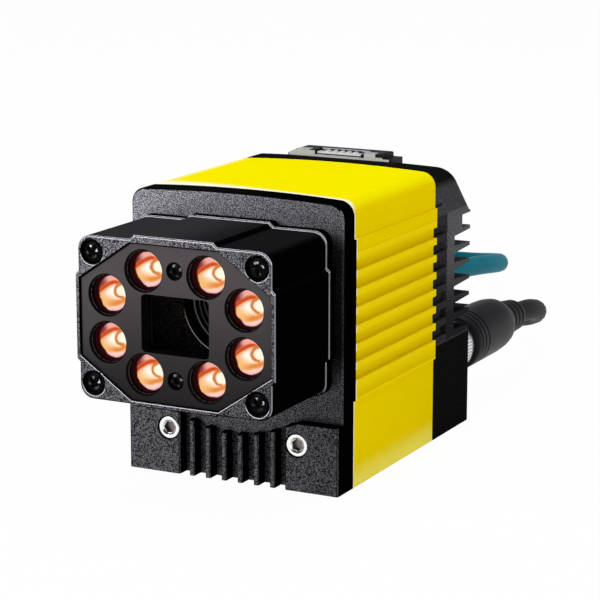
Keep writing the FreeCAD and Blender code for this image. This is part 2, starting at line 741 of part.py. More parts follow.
def lamp_mask():
    """The smooth dark front plate with the lamp holes and the window."""
    body = new_body("lamp_mask")
    pad(body, draw_polygon(facing(body, MASK_REAR), octagon("D.fit_gap")), "D.mask_thick")
    holes = facing(body, MASK_FRONT)
    for x, z in LAMPS:
        draw_circle(holes, x, f"{AXIS} + {z}", "D.lamp_hole_radius")
    pocket(body, holes)
    chamfer(body, "D.fine_bevel", across(MASK_FRONT))
    window = facing(body, MASK_FRONT)
    draw_rectangle(window, "-D.window_half_x", "D.window_half_x", f"{AXIS} - D.window_half_z",
                   f"{AXIS} + D.window_half_z")
    pocket(body, window)
    corners = [(f"{sx} * D.window_half_x", f"{AXIS} + {sz} * D.window_half_z") for sx, sz in CORNERS]
    fillet(body, "D.window_radius", along_y(corners))
    sinks, bores = facing(body, MASK_FRONT), facing(body, MASK_FRONT)
    for side in (-1, 1):
        draw_circle(sinks, "0", f"{AXIS} + {side} * D.mask_screw_z", "D.mask_screw_head + D.fit_gap")
        draw_circle(bores, "0", f"{AXIS} + {side} * D.mask_screw_z", "D.mask_screw_shank + D.fit_gap")
    pocket(body, sinks, "D.mask_screw_sink")
    pocket(body, bores)
    return body


def lamp_plate(label, front, thick):
    """An eight-sided board behind the mask, open in the middle for the lens."""
    body = new_body(label)
    pad(body, draw_polygon(facing(body, f"{front} + {thick}"), octagon("(D.ledge + D.fit_gap)")), thick)
    opening = facing(body, front)
    draw_rectangle(opening, "-D.lamp_board_open_x", "D.lamp_board_open_x", f"{AXIS} - D.lamp_board_open_z",
                   f"{AXIS} + D.lamp_board_open_z")
    pocket(body, opening)
    bores = facing(body, front)
    for side in (-1, 1):
        draw_circle(bores, "0", f"{AXIS} + {side} * D.mask_screw_z", "D.mask_screw_shank + D.fit_gap")
    pocket(body, bores)
    return body


def lamps():
    """Eight collimator lenses, each dished in front and narrowing to the light source behind it."""
    wide, foot = "D.lamp_lens_radius", "D.lamp_foot_radius"
    length = "D.lamp_lens_length"
    profile = [("0", f"{LAMP_FRONT} + {length} / 4"), (f"{wide} / 2", f"{LAMP_FRONT} + {length} / 6"),
               (f"{wide} * 3 / 4", LAMP_FRONT), (wide, LAMP_FRONT), (wide, f"{LAMP_FRONT} + {length} / 3"),
               (foot, LAMP_REAR), ("0", LAMP_REAR)]
    return [turned(f"lamp_lens_{n}", profile, x, f"{AXIS} + {z}") for n, (x, z) in enumerate(LAMPS, 1)]


def emitters():
    half = "D.emitter_side / 2"
    chips = [slab(f"emitter_{n}", (f"{x} - {half}", f"{x} + {half}"), (LAMP_REAR, LAMP_BOARD),
                  (f"{AXIS} + {z} - {half}", f"{AXIS} + {z} + {half}")) for n, (x, z) in enumerate(LAMPS, 1)]
    return group("lamp_emitters", chips)


def window_pane():
    gap = "D.fit_gap / 2"
    x = f"(D.window_half_x - {gap})"
    z = f"(D.window_half_z - {gap})"
    body = new_body("window_pane")
    sketch = facing(body, MASK_REAR)
    draw_rectangle(sketch, f"-{x}", x, f"{AXIS} - {z}", f"{AXIS} + {z}")
    pad(body, sketch, "D.pane_thick")
    fillet(body, "D.window_radius", along_y([(f"{sx} * {x}", f"{AXIS} + {sz} * {z}") for sx, sz in CORNERS]))
    return body


def screw(label, head_front, head_radius, head_height, shank_radius, tip, x, z):
    """A plain machine screw that points to the rear."""
    under = f"({head_front} + {head_height})"
    profile = [("0", head_front), (head_radius, head_front), (head_radius, under), (shank_radius, under),
               (shank_radius, tip), ("0", tip)]
    return turned(label, profile, x, z)


def head_screws():
    pieces = []
    for n, (sx, sz) in enumerate(CORNERS, 1):
        spot = (f"{sx} * D.head_screw_x", f"{AXIS} + {sz} * D.head_screw_z")
        pieces.append(screw(f"head_screw_{n}", HEAD, "D.head_screw_head", "D.head_screw_sink",
                            "D.head_screw_shank", f"{BOSS} + D.head_screw_reach", *spot))
    return group("head_screws", pieces)


def mask_screws():
    pieces = []
    for n, side in enumerate((1, -1), 1):
        pieces.append(screw(f"mask_screw_{n}", MASK_FRONT, "D.mask_screw_head", "D.mask_screw_sink",
                            "D.mask_screw_shank", SPREADER_REAR, "0", f"{AXIS} + {side} * D.mask_screw_z"))
    return group("mask_screws", pieces)


def case_screws():
    """Socket-head screws: two through the front housing and two through the rear one, into the chassis."""
    spots = [(FRONT, 1, f"{side} * D.case_screw_x", "D.case_screw_z") for side in (-1, 1)]
    spots += [(REAR, -1, f"{side} * D.rear_screw_x", "D.rear_screw_z") for side in (-1, 1)]
    pieces = []
    for n, (face, into, x, z) in enumerate(spots, 1):
        seam = COVER_FRONT if into > 0 else COVER_REAR
        far = f"({seam} + {into} * D.case_screw_reach)"
        head = f"({face} + {into} * 2 * D.fit_gap)"
        body = screw(f"case_screw_{n}", head, "D.case_head_radius", f"({into} * D.case_head_height)",
                     "D.case_shank_radius", far, x, z)
        key = facing(body, head)
        sides = [(f"D.hex_radius * cos({60 * k})", f"D.hex_radius * sin({60 * k})") for k in range(6)]
        draw_polygon(key, sides)
        pocket(body, key, "D.hex_depth").Reversed = into < 0
        pieces.append(body)
    return group("case_screws", pieces)


def lens_parts():
    """The lens: a front ring whose bore widens forwards in fine steps, its glass, and a barrel behind."""
    outer, bore = "D.lens_ring_radius", "D.lens_ring_bore"
    seat = f"({LENS_FRONT} - D.lens_ring_seat)"
    profile = [(outer, LENS_RING_FRONT), (outer, LENS_FRONT), (bore, LENS_FRONT), (bore, seat)]
    for step in range(1, LENS_STEPS + 1):
        radius = f"({bore} + {step} * D.lens_step_width)"
        profile += [(radius, f"{seat} - {count} * D.lens_step_depth") for count in (step - 1, step)]
    ring = turned("lens_ring", profile, "0", AXIS)
    edge, front = f"({bore} - D.fit_gap)", f"({LENS_FRONT} - D.element_thick)"
    glass = turned("front_element", [
        ("0", front), (f"{edge} / 2", f"{front} + D.element_thick / 8"),
        (edge, f"{front} + D.element_thick / 2"), (edge, LENS_FRONT), ("0", LENS_FRONT)], "0", AXIS)
    barrel_rear = f"({LENS_FRONT} + D.lens_length)"
    barrel = turned("lens_barrel", [
        ("D.lens_bore_radius", LENS_FRONT), ("D.lens_radius", LENS_FRONT), ("D.lens_radius", barrel_rear),
        ("D.lens_bore_radius", barrel_rear)], "0", AXIS)
    return [ring, glass, barrel]


def lens_mount():
    body = new_body("lens_mount")
    half = "D.lens_mount_half"
    sketch = facing(body, SENSOR_BOARD)
    draw_rectangle(sketch, f"-{half}", half, f"{AXIS} - {half}", f"{AXIS} + {half}")
    pad(body, sketch, "D.lens_mount_length")
    pocket(body, draw_circle(facing(body, COVER_FRONT), "0", AXIS, "D.lens_radius + D.fit_gap"))
    return body


def boards():
    """The image sensor and its board, the main board on four standoffs, and the connector board."""
    thick = "D.board_thick"
    sensor = slab("image_sensor", ("-D.sensor_half_x", "D.sensor_half_x"),
                  (f"{SENSOR_BOARD} - D.sensor_thick", SENSOR_BOARD),
                  (f"{AXIS} - D.sensor_half_z", f"{AXIS} + D.sensor_half_z"))
    sensor_board = slab("sensor_board", ("-D.sensor_board_half_x", "D.sensor_board_half_x"),
                        (SENSOR_BOARD, f"{SENSOR_BOARD} + {thick}"),
                        (f"{AXIS} - D.sensor_board_half_z", f"{AXIS} + D.sensor_board_half_z"))
    front, rear = f"({COVER_FRONT} + D.main_board_gap)", f"({COVER_REAR} - D.main_board_gap)"
    top = f"(D.main_board_height + {thick})"
    main = slab("main_board", ("-D.main_board_half_x", "D.main_board_half_x"), (front, rear),
                ("D.main_board_height", top))
    middle = f"(({front}) + ({rear})) / 2"
    half = "D.processor_half"
    chip = slab("processor", (f"-{half}", half), (f"{middle} - {half}", f"{middle} + {half}"),
                (top, f"{top} + D.processor_thick"))
    posts = []
    for n, (sx, end) in enumerate(((-1, 1), (1, 1), (-1, -1), (1, -1)), 1):
        post = doc.addObject("Part::Cylinder", f"standoff_{n}")
        post.setExpression("Radius", "D.standoff_radius")
        post.setExpression("Height", "D.main_board_height - D.chassis_floor")
        near = f"{COVER_FRONT} + D.chassis_wall" if end > 0 else f"{COVER_REAR} - D.chassis_wall"
        place(post, f"{sx} * (D.main_board_half_x - D.standoff_inset)", f"{near} + {end} * D.standoff_inset",
              "D.chassis_floor")
        posts.append(post)
    margin = "D.connector_board_margin"
    half = f"(D.rear_cavity_half_x - {margin})"
    link = slab("connector_board", (f"-{half}", half), (CONNECTOR_BOARD, f"{CONNECTOR_BOARD} + {thick}"),
                (f"D.rear_cavity_low + {margin}", f"D.rear_cavity_high - {margin}"))
    return [sensor, sensor_board, main, chip, group("board_standoffs", posts), link]


def rear_housing():
    """The finned rear casting: six fins across the back, slots on both sides and a connector block below."""
    body = new_body("rear_housing")
    pad(body, draw_casing(facing(body, REAR), "0"), "D.rear_depth")
    beyond = f"({REAR} + D.corner_radius)"
    slope = new_sketch(body, "YZ_Plane", "0")
    draw_slope(slope, beyond)
    pocket(body, slope, both_ways=True)
    root, tip = "(D.groove_pitch - D.fin_root) / 2", "(D.groove_pitch - D.fin_tip) / 2"
    low_gap = f"({GROOVE_MIDDLE} - 3 * D.groove_pitch)"
    floor = f"({REAR} - D.fin_length)"
    fins = new_sketch(body, "YZ_Plane", "0")
    under, over = f"{low_gap} - {tip}", f"{low_gap} + {tip}"
    draw_polygon(fins, [(floor, f"{low_gap} - {root}"), (REAR, under), (beyond, under), (beyond, over),
                        (REAR, over), (floor, f"{low_gap} + {root}")])
    pattern_up(body, pocket(body, fins, both_ways=True), "D.groove_pitch", 6)
    ledge = new_sketch(body, "YZ_Plane", "0")
    top_fin = f"({GROOVE_MIDDLE} + 3 * D.groove_pitch - {tip})"
    draw_rectangle(ledge, f"{REAR} - D.top_gap_depth", beyond, top_fin, f"{top_fin} + D.top_gap_height")
    pocket(body, ledge, both_ways=True)
    slots = facing(body, COVER_REAR)
    low_slot = f"({low_gap} - D.groove_width / 2)"
    for side in (-1, 1):
        edges = (f"{side} * ({HALF} - D.slot_depth)", f"{side} * ({HALF} + D.slot_depth)")
        draw_rectangle(slots, *edges, low_slot, f"{low_slot} + D.groove_width")
    pattern_up(body, pocket(body, slots, "D.slot_length"), "D.groove_pitch", 7)
    slit = facing(body, COVER_REAR)
    for side in (-1, 1):
        edges = (f"{side} * ({HALF} - D.slit_depth)", f"{side} * ({HALF} + D.slit_depth)")
        draw_rectangle(slit, *edges, BAND_HIGH, f"{BAND_HIGH} + D.slit_height")
    pocket(body, slit, "D.slit_length")
    cavity = facing(body, COVER_REAR)
    inside = ("-D.rear_cavity_half_x", "D.rear_cavity_half_x")
    draw_rectangle(cavity, *inside, "D.rear_cavity_low", "D.rear_cavity_high")
    pocket(body, cavity, "D.rear_cavity_depth")
    upper = facing(body, COVER_REAR)
    draw_rectangle(upper, *inside, "D.upper_cavity_low", "D.body_height - D.upper_cavity_roof")
    pocket(body, upper, "D.upper_cavity_depth")
    bores = facing(body, COVER_REAR)
    for side in (-1, 1):
        draw_circle(bores, f"{side} * {SOCKET_X}", "D.socket_z", "D.socket_body_radius + D.fit_gap")
    pocket(body, bores)
    heads, shanks = facing(body, REAR), facing(body, COVER_REAR)
    for side in (-1, 1):
        spot = (f"{side} * D.rear_screw_x", "D.rear_screw_z")
        draw_circle(heads, *spot, "D.case_head_radius + 2 * D.fit_gap")
        draw_circle(shanks, *spot, "D.case_shank_radius + D.fit_gap")
    pocket(body, heads, "D.case_head_height + 2 * D.fit_gap").Reversed = True
    pocket(body, shanks)
    seat = new_sketch(body, "XY_Plane", PANEL_FLOOR)
    reach = "(D.panel_half_x + D.fit_gap)"
    draw_rectangle(seat, f"-{reach}", reach, f"{PANEL_FRONT} - D.fit_gap",
                   f"{PANEL_FRONT} + D.panel_depth + D.fit_gap")
    pocket(body, seat, "D.corner_radius").Reversed = True
    well = new_sketch(body, "XY_Plane", PANEL_FLOOR)
    half = "(D.switch_half_x + D.fit_gap)"
    draw_rectangle(well, f"-{half}", half, f"{BUTTON_FRONT} - D.fit_gap",
                   f"{BUTTON_FRONT} + D.button_depth + D.fit_gap")
    pocket(body, well, "D.switch_height")
    groove = facing(body, f"{COVER_REAR} + D.seal_depth")
    draw_casing(groove, "D.seal_inset")
    draw_casing(groove, "(D.seal_inset + D.seal_width)")
    pocket(body, groove, "D.seal_depth + D.fit_gap").Reversed = True
    return body


def draw_slope(sketch, beyond):
    """What is cut away above the back: a slope that leaves the top in a round."""
    edge, above = f"({COVER_REAR} + D.slope_top)", "(D.body_height + D.corner_radius)"
    low, slant = "(D.body_height - D.slope_drop)", "sqrt(D.slope_run ^ 2 + D.slope_drop ^ 2)"
    reach = f"(D.slope_radius * ({slant} - D.slope_run) / D.slope_drop)"
    start = (f"{edge} - {reach}", "D.body_height")
    end = (f"{edge} + {reach} * D.slope_run / {slant}", f"D.body_height - {reach} * D.slope_drop / {slant}")
    corners = [end, (f"{edge} + D.slope_run", low), (beyond, low), (beyond, above), (start[0], above), start]
    places = [FreeCAD.Vector(value(y), value(z), 0) for y, z in corners]
    for one, other in zip(places, places[1:]):
        sketch.addGeometry(Part.LineSegment(one, other))
    last = len(corners) - 2
    radius = value("D.slope_radius")
    centre = places[-1] - FreeCAD.Vector(0, radius, 0)
    turn = math.atan2(value("D.slope_drop"), value("D.slope_run"))
    circle = Part.Circle(centre, FreeCAD.Vector(0, 0, 1), radius)
    arc = sketch.addGeometry(Part.ArcOfCircle(circle, math.pi / 2 - turn, math.pi / 2))
    for i in range(last):
        sketch.addConstraint(Sketcher.Constraint("Coincident", i, 2, i + 1, 1))
    sketch.addConstraint(Sketcher.Constraint("Coincident", last, 2, arc, 2))
    sketch.addConstraint(Sketcher.Constraint("Coincident", 0, 1, arc, 1))
    for i, (y, z) in enumerate(corners[:-1]):
        pin(sketch, i, 1, y, z)
    pin(sketch, last, 2, *corners[-1])
    bind(sketch, Sketcher.Constraint("Radius", arc, radius), "D.slope_radius")


def control_panel():
    """The raised strip on top of the rear housing, slanted at one end and stepped at the other."""
    body = new_body("control_panel")
    front = facing(body, f"{PANEL_FRONT} + D.panel_depth")
    wide, step = "D.panel_half_x", "(D.panel_half_x - D.panel_step_x)"
    ledge = f"{PANEL_FLOOR} + D.panel_step_height"
    draw_polygon(front, [(f"-{wide}", PANEL_FLOOR), (wide, PANEL_FLOOR), (wide, ledge), (step, ledge),
                         (step, PANEL_TOP), (f"-{step}", PANEL_TOP), (f"-{wide}", ledge)])
    pad(body, front, "D.panel_depth")
    chamfer(body, "D.fine_bevel", level(PANEL_TOP))
    slot = new_sketch(body, "XY_Plane", PANEL_TOP)
    half = "(D.button_half_x + D.button_gap)"
    low_y, high_y = f"{BUTTON_FRONT} - D.button_gap", f"{BUTTON_FRONT} + D.button_depth + D.button_gap"
    draw_rectangle(slot, f"-{half}", half, low_y, high_y)
    pocket(body, slot)
    sill = facing(body, PANEL_FRONT)
    draw_rectangle(sill, f"-{half}", half, f"{PANEL_TOP} - D.button_window", f"{PANEL_TOP} + D.button_gap")
    pocket(body, sill, "D.button_front")
    return body


def push_button():
    """The ribbed key that slides down in the control panel."""
    body = new_body("push_button")
    low = new_sketch(body, "XY_Plane", BUTTON_LOW)
    rear = f"{BUTTON_FRONT} + D.button_depth"
    draw_rectangle(low, "-D.button_half_x", "D.button_half_x", BUTTON_FRONT, rear)
    pad(body, low, f"{BUTTON_TOP} - D.button_rib_height - {BUTTON_LOW}")
    ribs = new_sketch(body, "XY_Plane", f"{BUTTON_TOP} - D.button_rib_height")
    for count in (-2, -1, 0, 1, 2):
        middle = f"{count} * D.button_rib_pitch"
        draw_rectangle(ribs, f"{middle} - D.button_rib_width / 2", f"{middle} + D.button_rib_width / 2",
                       BUTTON_FRONT, rear)
    pad(body, ribs, "D.button_rib_height")
    return body


def button_switch():
    top = f"{BUTTON_LOW} - D.button_travel - D.fit_gap"
    return slab("button_switch", ("-D.switch_half_x", "D.switch_half_x"),
                (BUTTON_FRONT, f"{BUTTON_FRONT} + D.button_depth"), (f"{PANEL_FLOOR} - D.switch_height", top))


def socket(label, side):
    """A panel connector: its body passes through the housing wall, its threaded sleeve stands out behind."""
    inner = f"({CONNECTOR_BOARD} + D.board_thick)"
    profile = [("0", inner), ("D.socket_body_radius", inner), ("D.socket_body_radius", REAR),
               ("D.socket_flange_radius", REAR), ("D.socket_flange_radius", SOCKET_FACE),
               ("D.socket_thread_radius", SOCKET_FACE), ("D.socket_thread_radius", SOCKET_END),
               ("D.socket_bore", SOCKET_END), ("D.socket_bore", f"{SOCKET_END} - D.socket_bore_depth"),
               ("0", f"{SOCKET_END} - D.socket_bore_depth")]
    return turned(label, profile, f"{side} * {SOCKET_X}", "D.socket_z")


def coupling_nut(label, side):
    bore = "(D.socket_thread_radius + D.nut_fit)"
    waist = f"({NUT_REAR} - D.nut_tail)"
    profile = [(bore, NUT_FRONT), ("D.nut_radius", NUT_FRONT), ("D.nut_radius", waist),
               ("D.nut_tail_radius", waist), ("D.nut_tail_radius", NUT_REAR), (bore, NUT_REAR)]
    return turned(label, profile, f"{side} * {SOCKET_X}", "D.socket_z")


def plug(label, side, droop):
    """A moulded cable plug: insert, collar and a ringed strain relief that hangs a little."""
    edge = "D.collar_edge"
    insert_front = f"({SOCKET_END} - D.socket_bore_depth + D.fit_gap)"
    core = f"({SOCKET_END} + D.fit_gap)"
    grip = turned(f"{label}_grip", [
        ("0", insert_front), ("D.plug_insert", insert_front), ("D.plug_insert", core), ("D.plug_core", core),
        ("D.plug_core", COLLAR), (f"D.collar_radius - {edge}", COLLAR),
        ("D.collar_radius", f"{COLLAR} + {edge}"), ("D.collar_radius", f"{BOOT} - D.collar_taper"),
        ("D.collar_tail_radius", f"{BOOT} - {edge}"), (f"D.collar_tail_radius - {edge}", BOOT), ("0", BOOT)])
    profile = [("0", "-D.collar_edge"), ("D.boot_root_radius", "-D.collar_edge")]
    rings = 4
    for n in range(1, rings + 1):
        share = n / (rings + 1)
        radius = f"(D.boot_root_radius + (D.boot_tip_radius - D.boot_root_radius) * {share})"
        near, far = (f"D.boot_length * {share} + {way} * D.boot_ring_width / 2" for way in (-1, 1))
        crest = f"{radius} + D.boot_ring"
        profile += [(radius, near), (crest, near), (crest, far), (radius, far)]
    profile += [("D.boot_tip_radius", "D.boot_length"), ("0", "D.boot_length")]
    boot = turned(f"{label}_boot", profile)
    boot.setExpression("Placement.Base.y", BOOT)
    boot.Placement.Rotation = FreeCAD.Rotation(FreeCAD.Vector(1, 0, 0), 0)
    boot.setExpression("Placement.Rotation.Angle", f"-{droop}")
    boot.setExpression("Placement.Rotation.Axis.x", "1")
    boot.setExpression("Placement.Rotation.Axis.z", "0")
    whole = doc.addObject("Part::MultiFuse", label)
    whole.Label = label
    whole.Shapes = [grip, boot]
    return place(whole, x=f"{side} * {SOCKET_X}", z="D.socket_z")


def cable(label, route):
    """A tube along straight runs with one arc at each turn, as large as its two runs allow."""
    points = [FreeCAD.Vector(*point) for point in route]
    radius = value("D.cable_radius")
    edges = []
    start = points[0]
    smallest = None
    for before, corner, after in zip(points, points[1:], points[2:]):
        into, out = (corner - before), (after - corner)
        shorter = min(into.Length, out.Length)
        turn = into.getAngle(out)
        reach = ARC_SHARE * shorter
        bend = reach / math.tan(turn / 2)
        smallest = bend if smallest is None else min(smallest, bend)
        one = corner - into.normalize() * reach
        two = corner + out.normalize() * reach
        inward = ((one + two) * 0.5 - corner).normalize()
        middle = corner + inward * (bend / math.cos(turn / 2) - bend)
        edges.append(Part.LineSegment(start, one).toShape())
        edges.append(Part.Arc(one, middle, two).toShape())
        start = two
    edges.append(Part.LineSegment(start, points[-1]).toShape())
    path = Part.Wire(edges)
    first = (points[1] - points[0]).normalize()
    section = Part.Wire(Part.Circle(points[0], first, radius).toShape())
    tube = path.makePipeShell([section], True, False)
    ideal = math.pi * radius ** 2 * path.Length
    ratio = tube.Volume / ideal
    print(f"{label}: length {path.Length:.1f}, tightest bend {smallest:.1f}, volume ratio {ratio:.5f}")
    item = doc.addObject("Part::Feature", label)
    item.Label = label
    item.Shape = tube
    return item


def coil(label, centre):
    """The outer shape of the cable's put-away turns: a round ring of nearly square section."""
    body = new_body(label)
    sketch = new_sketch(body, "XZ_Plane", "0")
    inner, outer = "(D.coil_radius - D.coil_width / 2)", "(D.coil_radius + D.coil_width / 2)"
    low, high = "D.coil_low", "(D.coil_low + D.coil_width)"
    cut = "D.cable_radius"
    draw_polygon(sketch, [(f"{inner} + {cut}", low), (f"{outer} - {cut}", low), (outer, f"{low} + {cut}"),
                          (outer, f"{high} - {cut}"), (f"{outer} - {cut}", high), (f"{inner} + {cut}", high),
                          (inner, f"{high} - {cut}"), (inner, f"{low} + {cut}")])
    feature = body.newObject("PartDesign::Revolution", f"{label}_turn")
    feature.Profile = sketch
    feature.ReferenceAxis = (sketch, ["V_Axis"])
    feature.Angle = 360
    return place(body, *(str(part) for part in centre))


def coil_tie(label, centre):
    """A flat strap round the coil's section, on the side nearest to the reader's front."""
    x, y = centre
    gap, half = "D.fit_gap", "D.tie_width / 2"
    near = f"{y} - D.coil_radius - D.coil_width / 2 - {gap}"
    far = f"{y} - sqrt((D.coil_radius - D.coil_width / 2) ^ 2 - ({half}) ^ 2) + {gap}"
    low, high = f"D.coil_low - {gap}", f"D.coil_low + D.coil_width + {gap}"
    thick = "D.tie_thick"
    outer = slab(f"{label}_outer", (f"{x} - {half}", f"{x} + {half}"),
                 (f"{near} - {thick}", f"{far} + {thick}"), (f"{low} - {thick}", f"{high} + {thick}"))
    inner = slab(f"{label}_inner", (f"{x} - D.tie_width", f"{x} + D.tie_width"), (near, far), (low, high))
    strap = doc.addObject("Part::Cut", label)
    strap.Label = label
    strap.Base = outer
    strap.Tool = inner
    return strap


def on_coil(item, centre):
    """Lays a cable's end on the coil, on the side away from where the cable comes in."""
    x, y = centre
    return place(item, f"{x} - D.coil_radius", str(y), "D.coil_low + D.coil_width")


def network_jack(label, centre):
    """The rectangular plug at the network cable's far end, with its sleeve and latch."""
    body = new_body(label)
    half, sleeve = "D.jack_width / 2", "D.jack_sleeve_width / 2"
    base = new_sketch(body, "XY_Plane", "0")
    draw_rectangle(base, f"-{half}", half, "-D.jack_length", "0")
    pad(body, base, "D.jack_height")
    rear = new_sketch(body, "XY_Plane", "0")
    draw_rectangle(rear, f"-{sleeve}", sleeve, "0", "D.jack_sleeve_length")
    pad(body, rear, "D.jack_height - D.jack_latch_height")
    latch = new_sketch(body, "XY_Plane", "D.jack_height")
    finger = "D.jack_latch_width / 2"
    draw_rectangle(latch, f"-{finger}", finger, "-D.jack_length", "-D.jack_length / 3")
    pad(body, latch, "D.jack_latch_height")
    return on_coil(body, centre)


def loose_leads(label, centre):
    """The signal cable's far end: a shrunk sleeve and the stripped leads that come out of it."""
    radius, length = "D.sleeve_radius", "D.sleeve_length"
    sleeve = turned(f"{label}_sleeve", [("0", "0"), (radius, "0"), (radius, length), ("0", length)])
    thin, tip = "D.lead_radius", "-D.lead_length"
    wires = []
    for n in range(6):
        x, z = f"D.lead_ring * cos({60 * n})", f"D.lead_ring * sin({60 * n})"
        wires.append(turned(f"{label}_{n + 1}", [("0", tip), (thin, tip), (thin, "D.fit_gap"),
                                                 ("0", "D.fit_gap")], x, z))
    whole = doc.addObject("Part::MultiFuse", label)
    whole.Label = label
    whole.Shapes = [sleeve] + wires
    x, y = centre
    return place(whole, f"{x} - D.coil_radius", str(y), "D.coil_low + D.coil_width + D.sleeve_radius")


def build():
    nodes = [front_housing(), casing_seal("front_seal", COVER_FRONT, "D.seal_inset"), cover(), chassis(),
             torch_housing(), head_seal(), lamp_mask(),
             lamp_plate("lamp_board", LAMP_BOARD, "D.lamp_board_thick"),
             lamp_plate("heat_spreader", SPREADER, "D.spreader_thick"), emitters(), window_pane(),
             head_screws(), mask_screws(), case_screws(), lens_mount(), rear_housing(),
             casing_seal("rear_seal", f"{COVER_REAR} + D.seal_depth", "D.seal_inset"), control_panel(),
             push_button(), button_switch()]
    nodes += lamps() + lens_parts() + boards()
    cords = (("ethernet", -1, "0", ETHERNET_ROUTE, ETHERNET_COIL),
             ("signal", 1, "D.boot_droop", SIGNAL_ROUTE, SIGNAL_COIL))
    for name, side, droop, route, centre in cords:
        nodes += [socket(f"{name}_socket", side), coupling_nut(f"{name}_nut", side)]
        nodes += [plug(f"{name}_plug", side, droop), cable(f"{name}_cable", route)]
        nodes += [coil(f"{name}_coil", centre), coil_tie(f"{name}_tie", centre)]
    nodes += [network_jack("network_jack", ETHERNET_COIL), loose_leads("signal_leads", SIGNAL_COIL)]
    return nodes


def check(nodes):
    doc.recompute()
    for item in doc.Objects:
        if "Invalid" in item.State or "Error" in item.State:
            raise RuntimeError(f"{item.Name} did not build: {item.State}")
    for node in nodes:
        if node.Shape.isNull() or not node.Shape.isValid():
            raise RuntimeError(f"{node.Label} has no sound shape")


NODES = build()
check(NODES)
os.makedirs("parts", exist_ok=True)
for node in NODES:
    node.Shape.exportStep(f"parts/{node.Label}.step")
print(f"{len(NODES)} nodes written")
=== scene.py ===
import math

import bmesh
import bpy
from mathutils import Matrix, Vector


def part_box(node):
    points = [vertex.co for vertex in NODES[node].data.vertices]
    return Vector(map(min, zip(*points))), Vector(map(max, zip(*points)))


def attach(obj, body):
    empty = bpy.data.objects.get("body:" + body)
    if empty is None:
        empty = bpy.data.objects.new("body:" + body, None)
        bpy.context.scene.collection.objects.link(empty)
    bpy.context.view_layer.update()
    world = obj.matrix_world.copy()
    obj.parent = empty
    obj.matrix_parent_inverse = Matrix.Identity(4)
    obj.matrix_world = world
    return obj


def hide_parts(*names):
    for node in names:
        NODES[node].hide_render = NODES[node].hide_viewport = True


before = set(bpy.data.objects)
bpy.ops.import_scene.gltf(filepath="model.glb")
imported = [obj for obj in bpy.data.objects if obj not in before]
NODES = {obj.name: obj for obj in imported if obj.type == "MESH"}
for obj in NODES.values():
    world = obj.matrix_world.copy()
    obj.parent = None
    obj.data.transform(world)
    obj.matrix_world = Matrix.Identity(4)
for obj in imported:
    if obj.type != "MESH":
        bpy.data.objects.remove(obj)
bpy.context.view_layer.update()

# Barcode reader: finishes, lamps, fasteners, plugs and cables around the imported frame.
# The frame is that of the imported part, in metres: X to the right as one faces the lamps, Y from the lamps to
# the plugs, Z up. Sizes are in millimetres, apart from the cords' length and the studio, which are in metres.

MM = 0.001
LENS_AXIS = 45.2
HEAD_FACE = -68.1
MASK_FACE = -67.4
LAMP_FACE = -64.4
LAMP_FACE_SPAN = 10.0
CASE_FACE = -40.2
CASE_REAR = 40.3
BOSS_FACE = -40.8
COVER_FRONT = -31.6
GROOVE_FOOT = 41.275
GROOVE_PITCH = 4.56
PANEL_FACE = 20.1
PANEL_TOP = 74.85
SOCKET_X = 20.0
SOCKET_Z = 17.95
CORD_RADIUS = 3.15
LAMPS = [f"lamp_lens_{n}" for n in range(1, 9)]

# Screws: how far they lie from the middle plane, and their height.
CASE_SCREW = (18.05, 11.65)
REAR_SCREW = (8.0, 6.0)
# The same for the head and the mask, with the height from the lens axis.
HEAD_SCREW = (22.2, 16.05)
MASK_SCREW = (0.0, 13.2)

ETHERNET_ROUTE = [
    (-20.0, 97.3, 17.95), (-20.0, 115.0, 17.95), (-20.3, 135.0, 17.8), (-21.0, 157.0, 16.6),
    (-21.8, 177.5, 13.9), (-24.2, 196.0, 10.8), (-31.5, 212.0, 7.6), (-44.0, 223.0, 4.6),
    (-58.0, 227.9, 3.3), (-68.0, 229.2, 3.2), (-77.0, 229.6, 3.2),
]
SIGNAL_ROUTE = [
    (20.0, 97.28, 17.165), (20.0, 108.98, 16.55), (18.0, 122.6, 13.2), (11.8, 134.8, 8.6),
    (1.5, 143.6, 5.0), (-12.3, 148.2, 3.4), (-28.3, 148.9, 3.2), (-45.0, 148.2, 3.2),
    (-61.0, 145.2, 3.2), (-75.0, 140.6, 3.2),
]
ETHERNET_COIL = (-91.0, 192.0)
SIGNAL_COIL = (-77.9, 100.9)
COIL_RADIUS = 31.5
COIL_TOP = 19.7


def maths(operation, swapped=False):
    """A method that adds one Math node to a wire; swapped, the wire is its last term."""
    def method(wire, *others):
        terms = (*others, wire) if swapped else (wire, *others)
        return wire.graph.node("ShaderNodeMath", {"operation": operation}, dict(enumerate(terms)))
    return method


class Wire:
    """One output of a node; arithmetic on it adds Math nodes."""

    __add__, __radd__ = maths("ADD"), maths("ADD", swapped=True)
    __sub__, __rsub__ = maths("SUBTRACT"), maths("SUBTRACT", swapped=True)
    __mul__, __rmul__ = maths("MULTIPLY"), maths("MULTIPLY", swapped=True)
    __truediv__, __rtruediv__ = maths("DIVIDE"), maths("DIVIDE", swapped=True)
    __abs__ = maths("ABSOLUTE")
    sine = maths("SINE")
    root = maths("SQRT")
    sign = maths("SIGN")
    fraction = maths("FRACT")
    most = maths("MAXIMUM")

    def __init__(self, graph, socket):
        self.graph = graph
        self.socket = socket

    def step(self, low, high):
        """A soft step from 0 at low to 1 at high; low may be the larger."""
        settings = {"interpolation_type": "SMOOTHSTEP"}
        return self.graph.node("ShaderNodeMapRange", settings, {0: self, 1: low, 2: high, 3: 0.0, 4: 1.0})

    def band(self, low, high, soft):
        """1 between low and high, falling to 0 over the soft width outside them."""
        return self.step(low - soft, low) * self.step(high + soft, high)


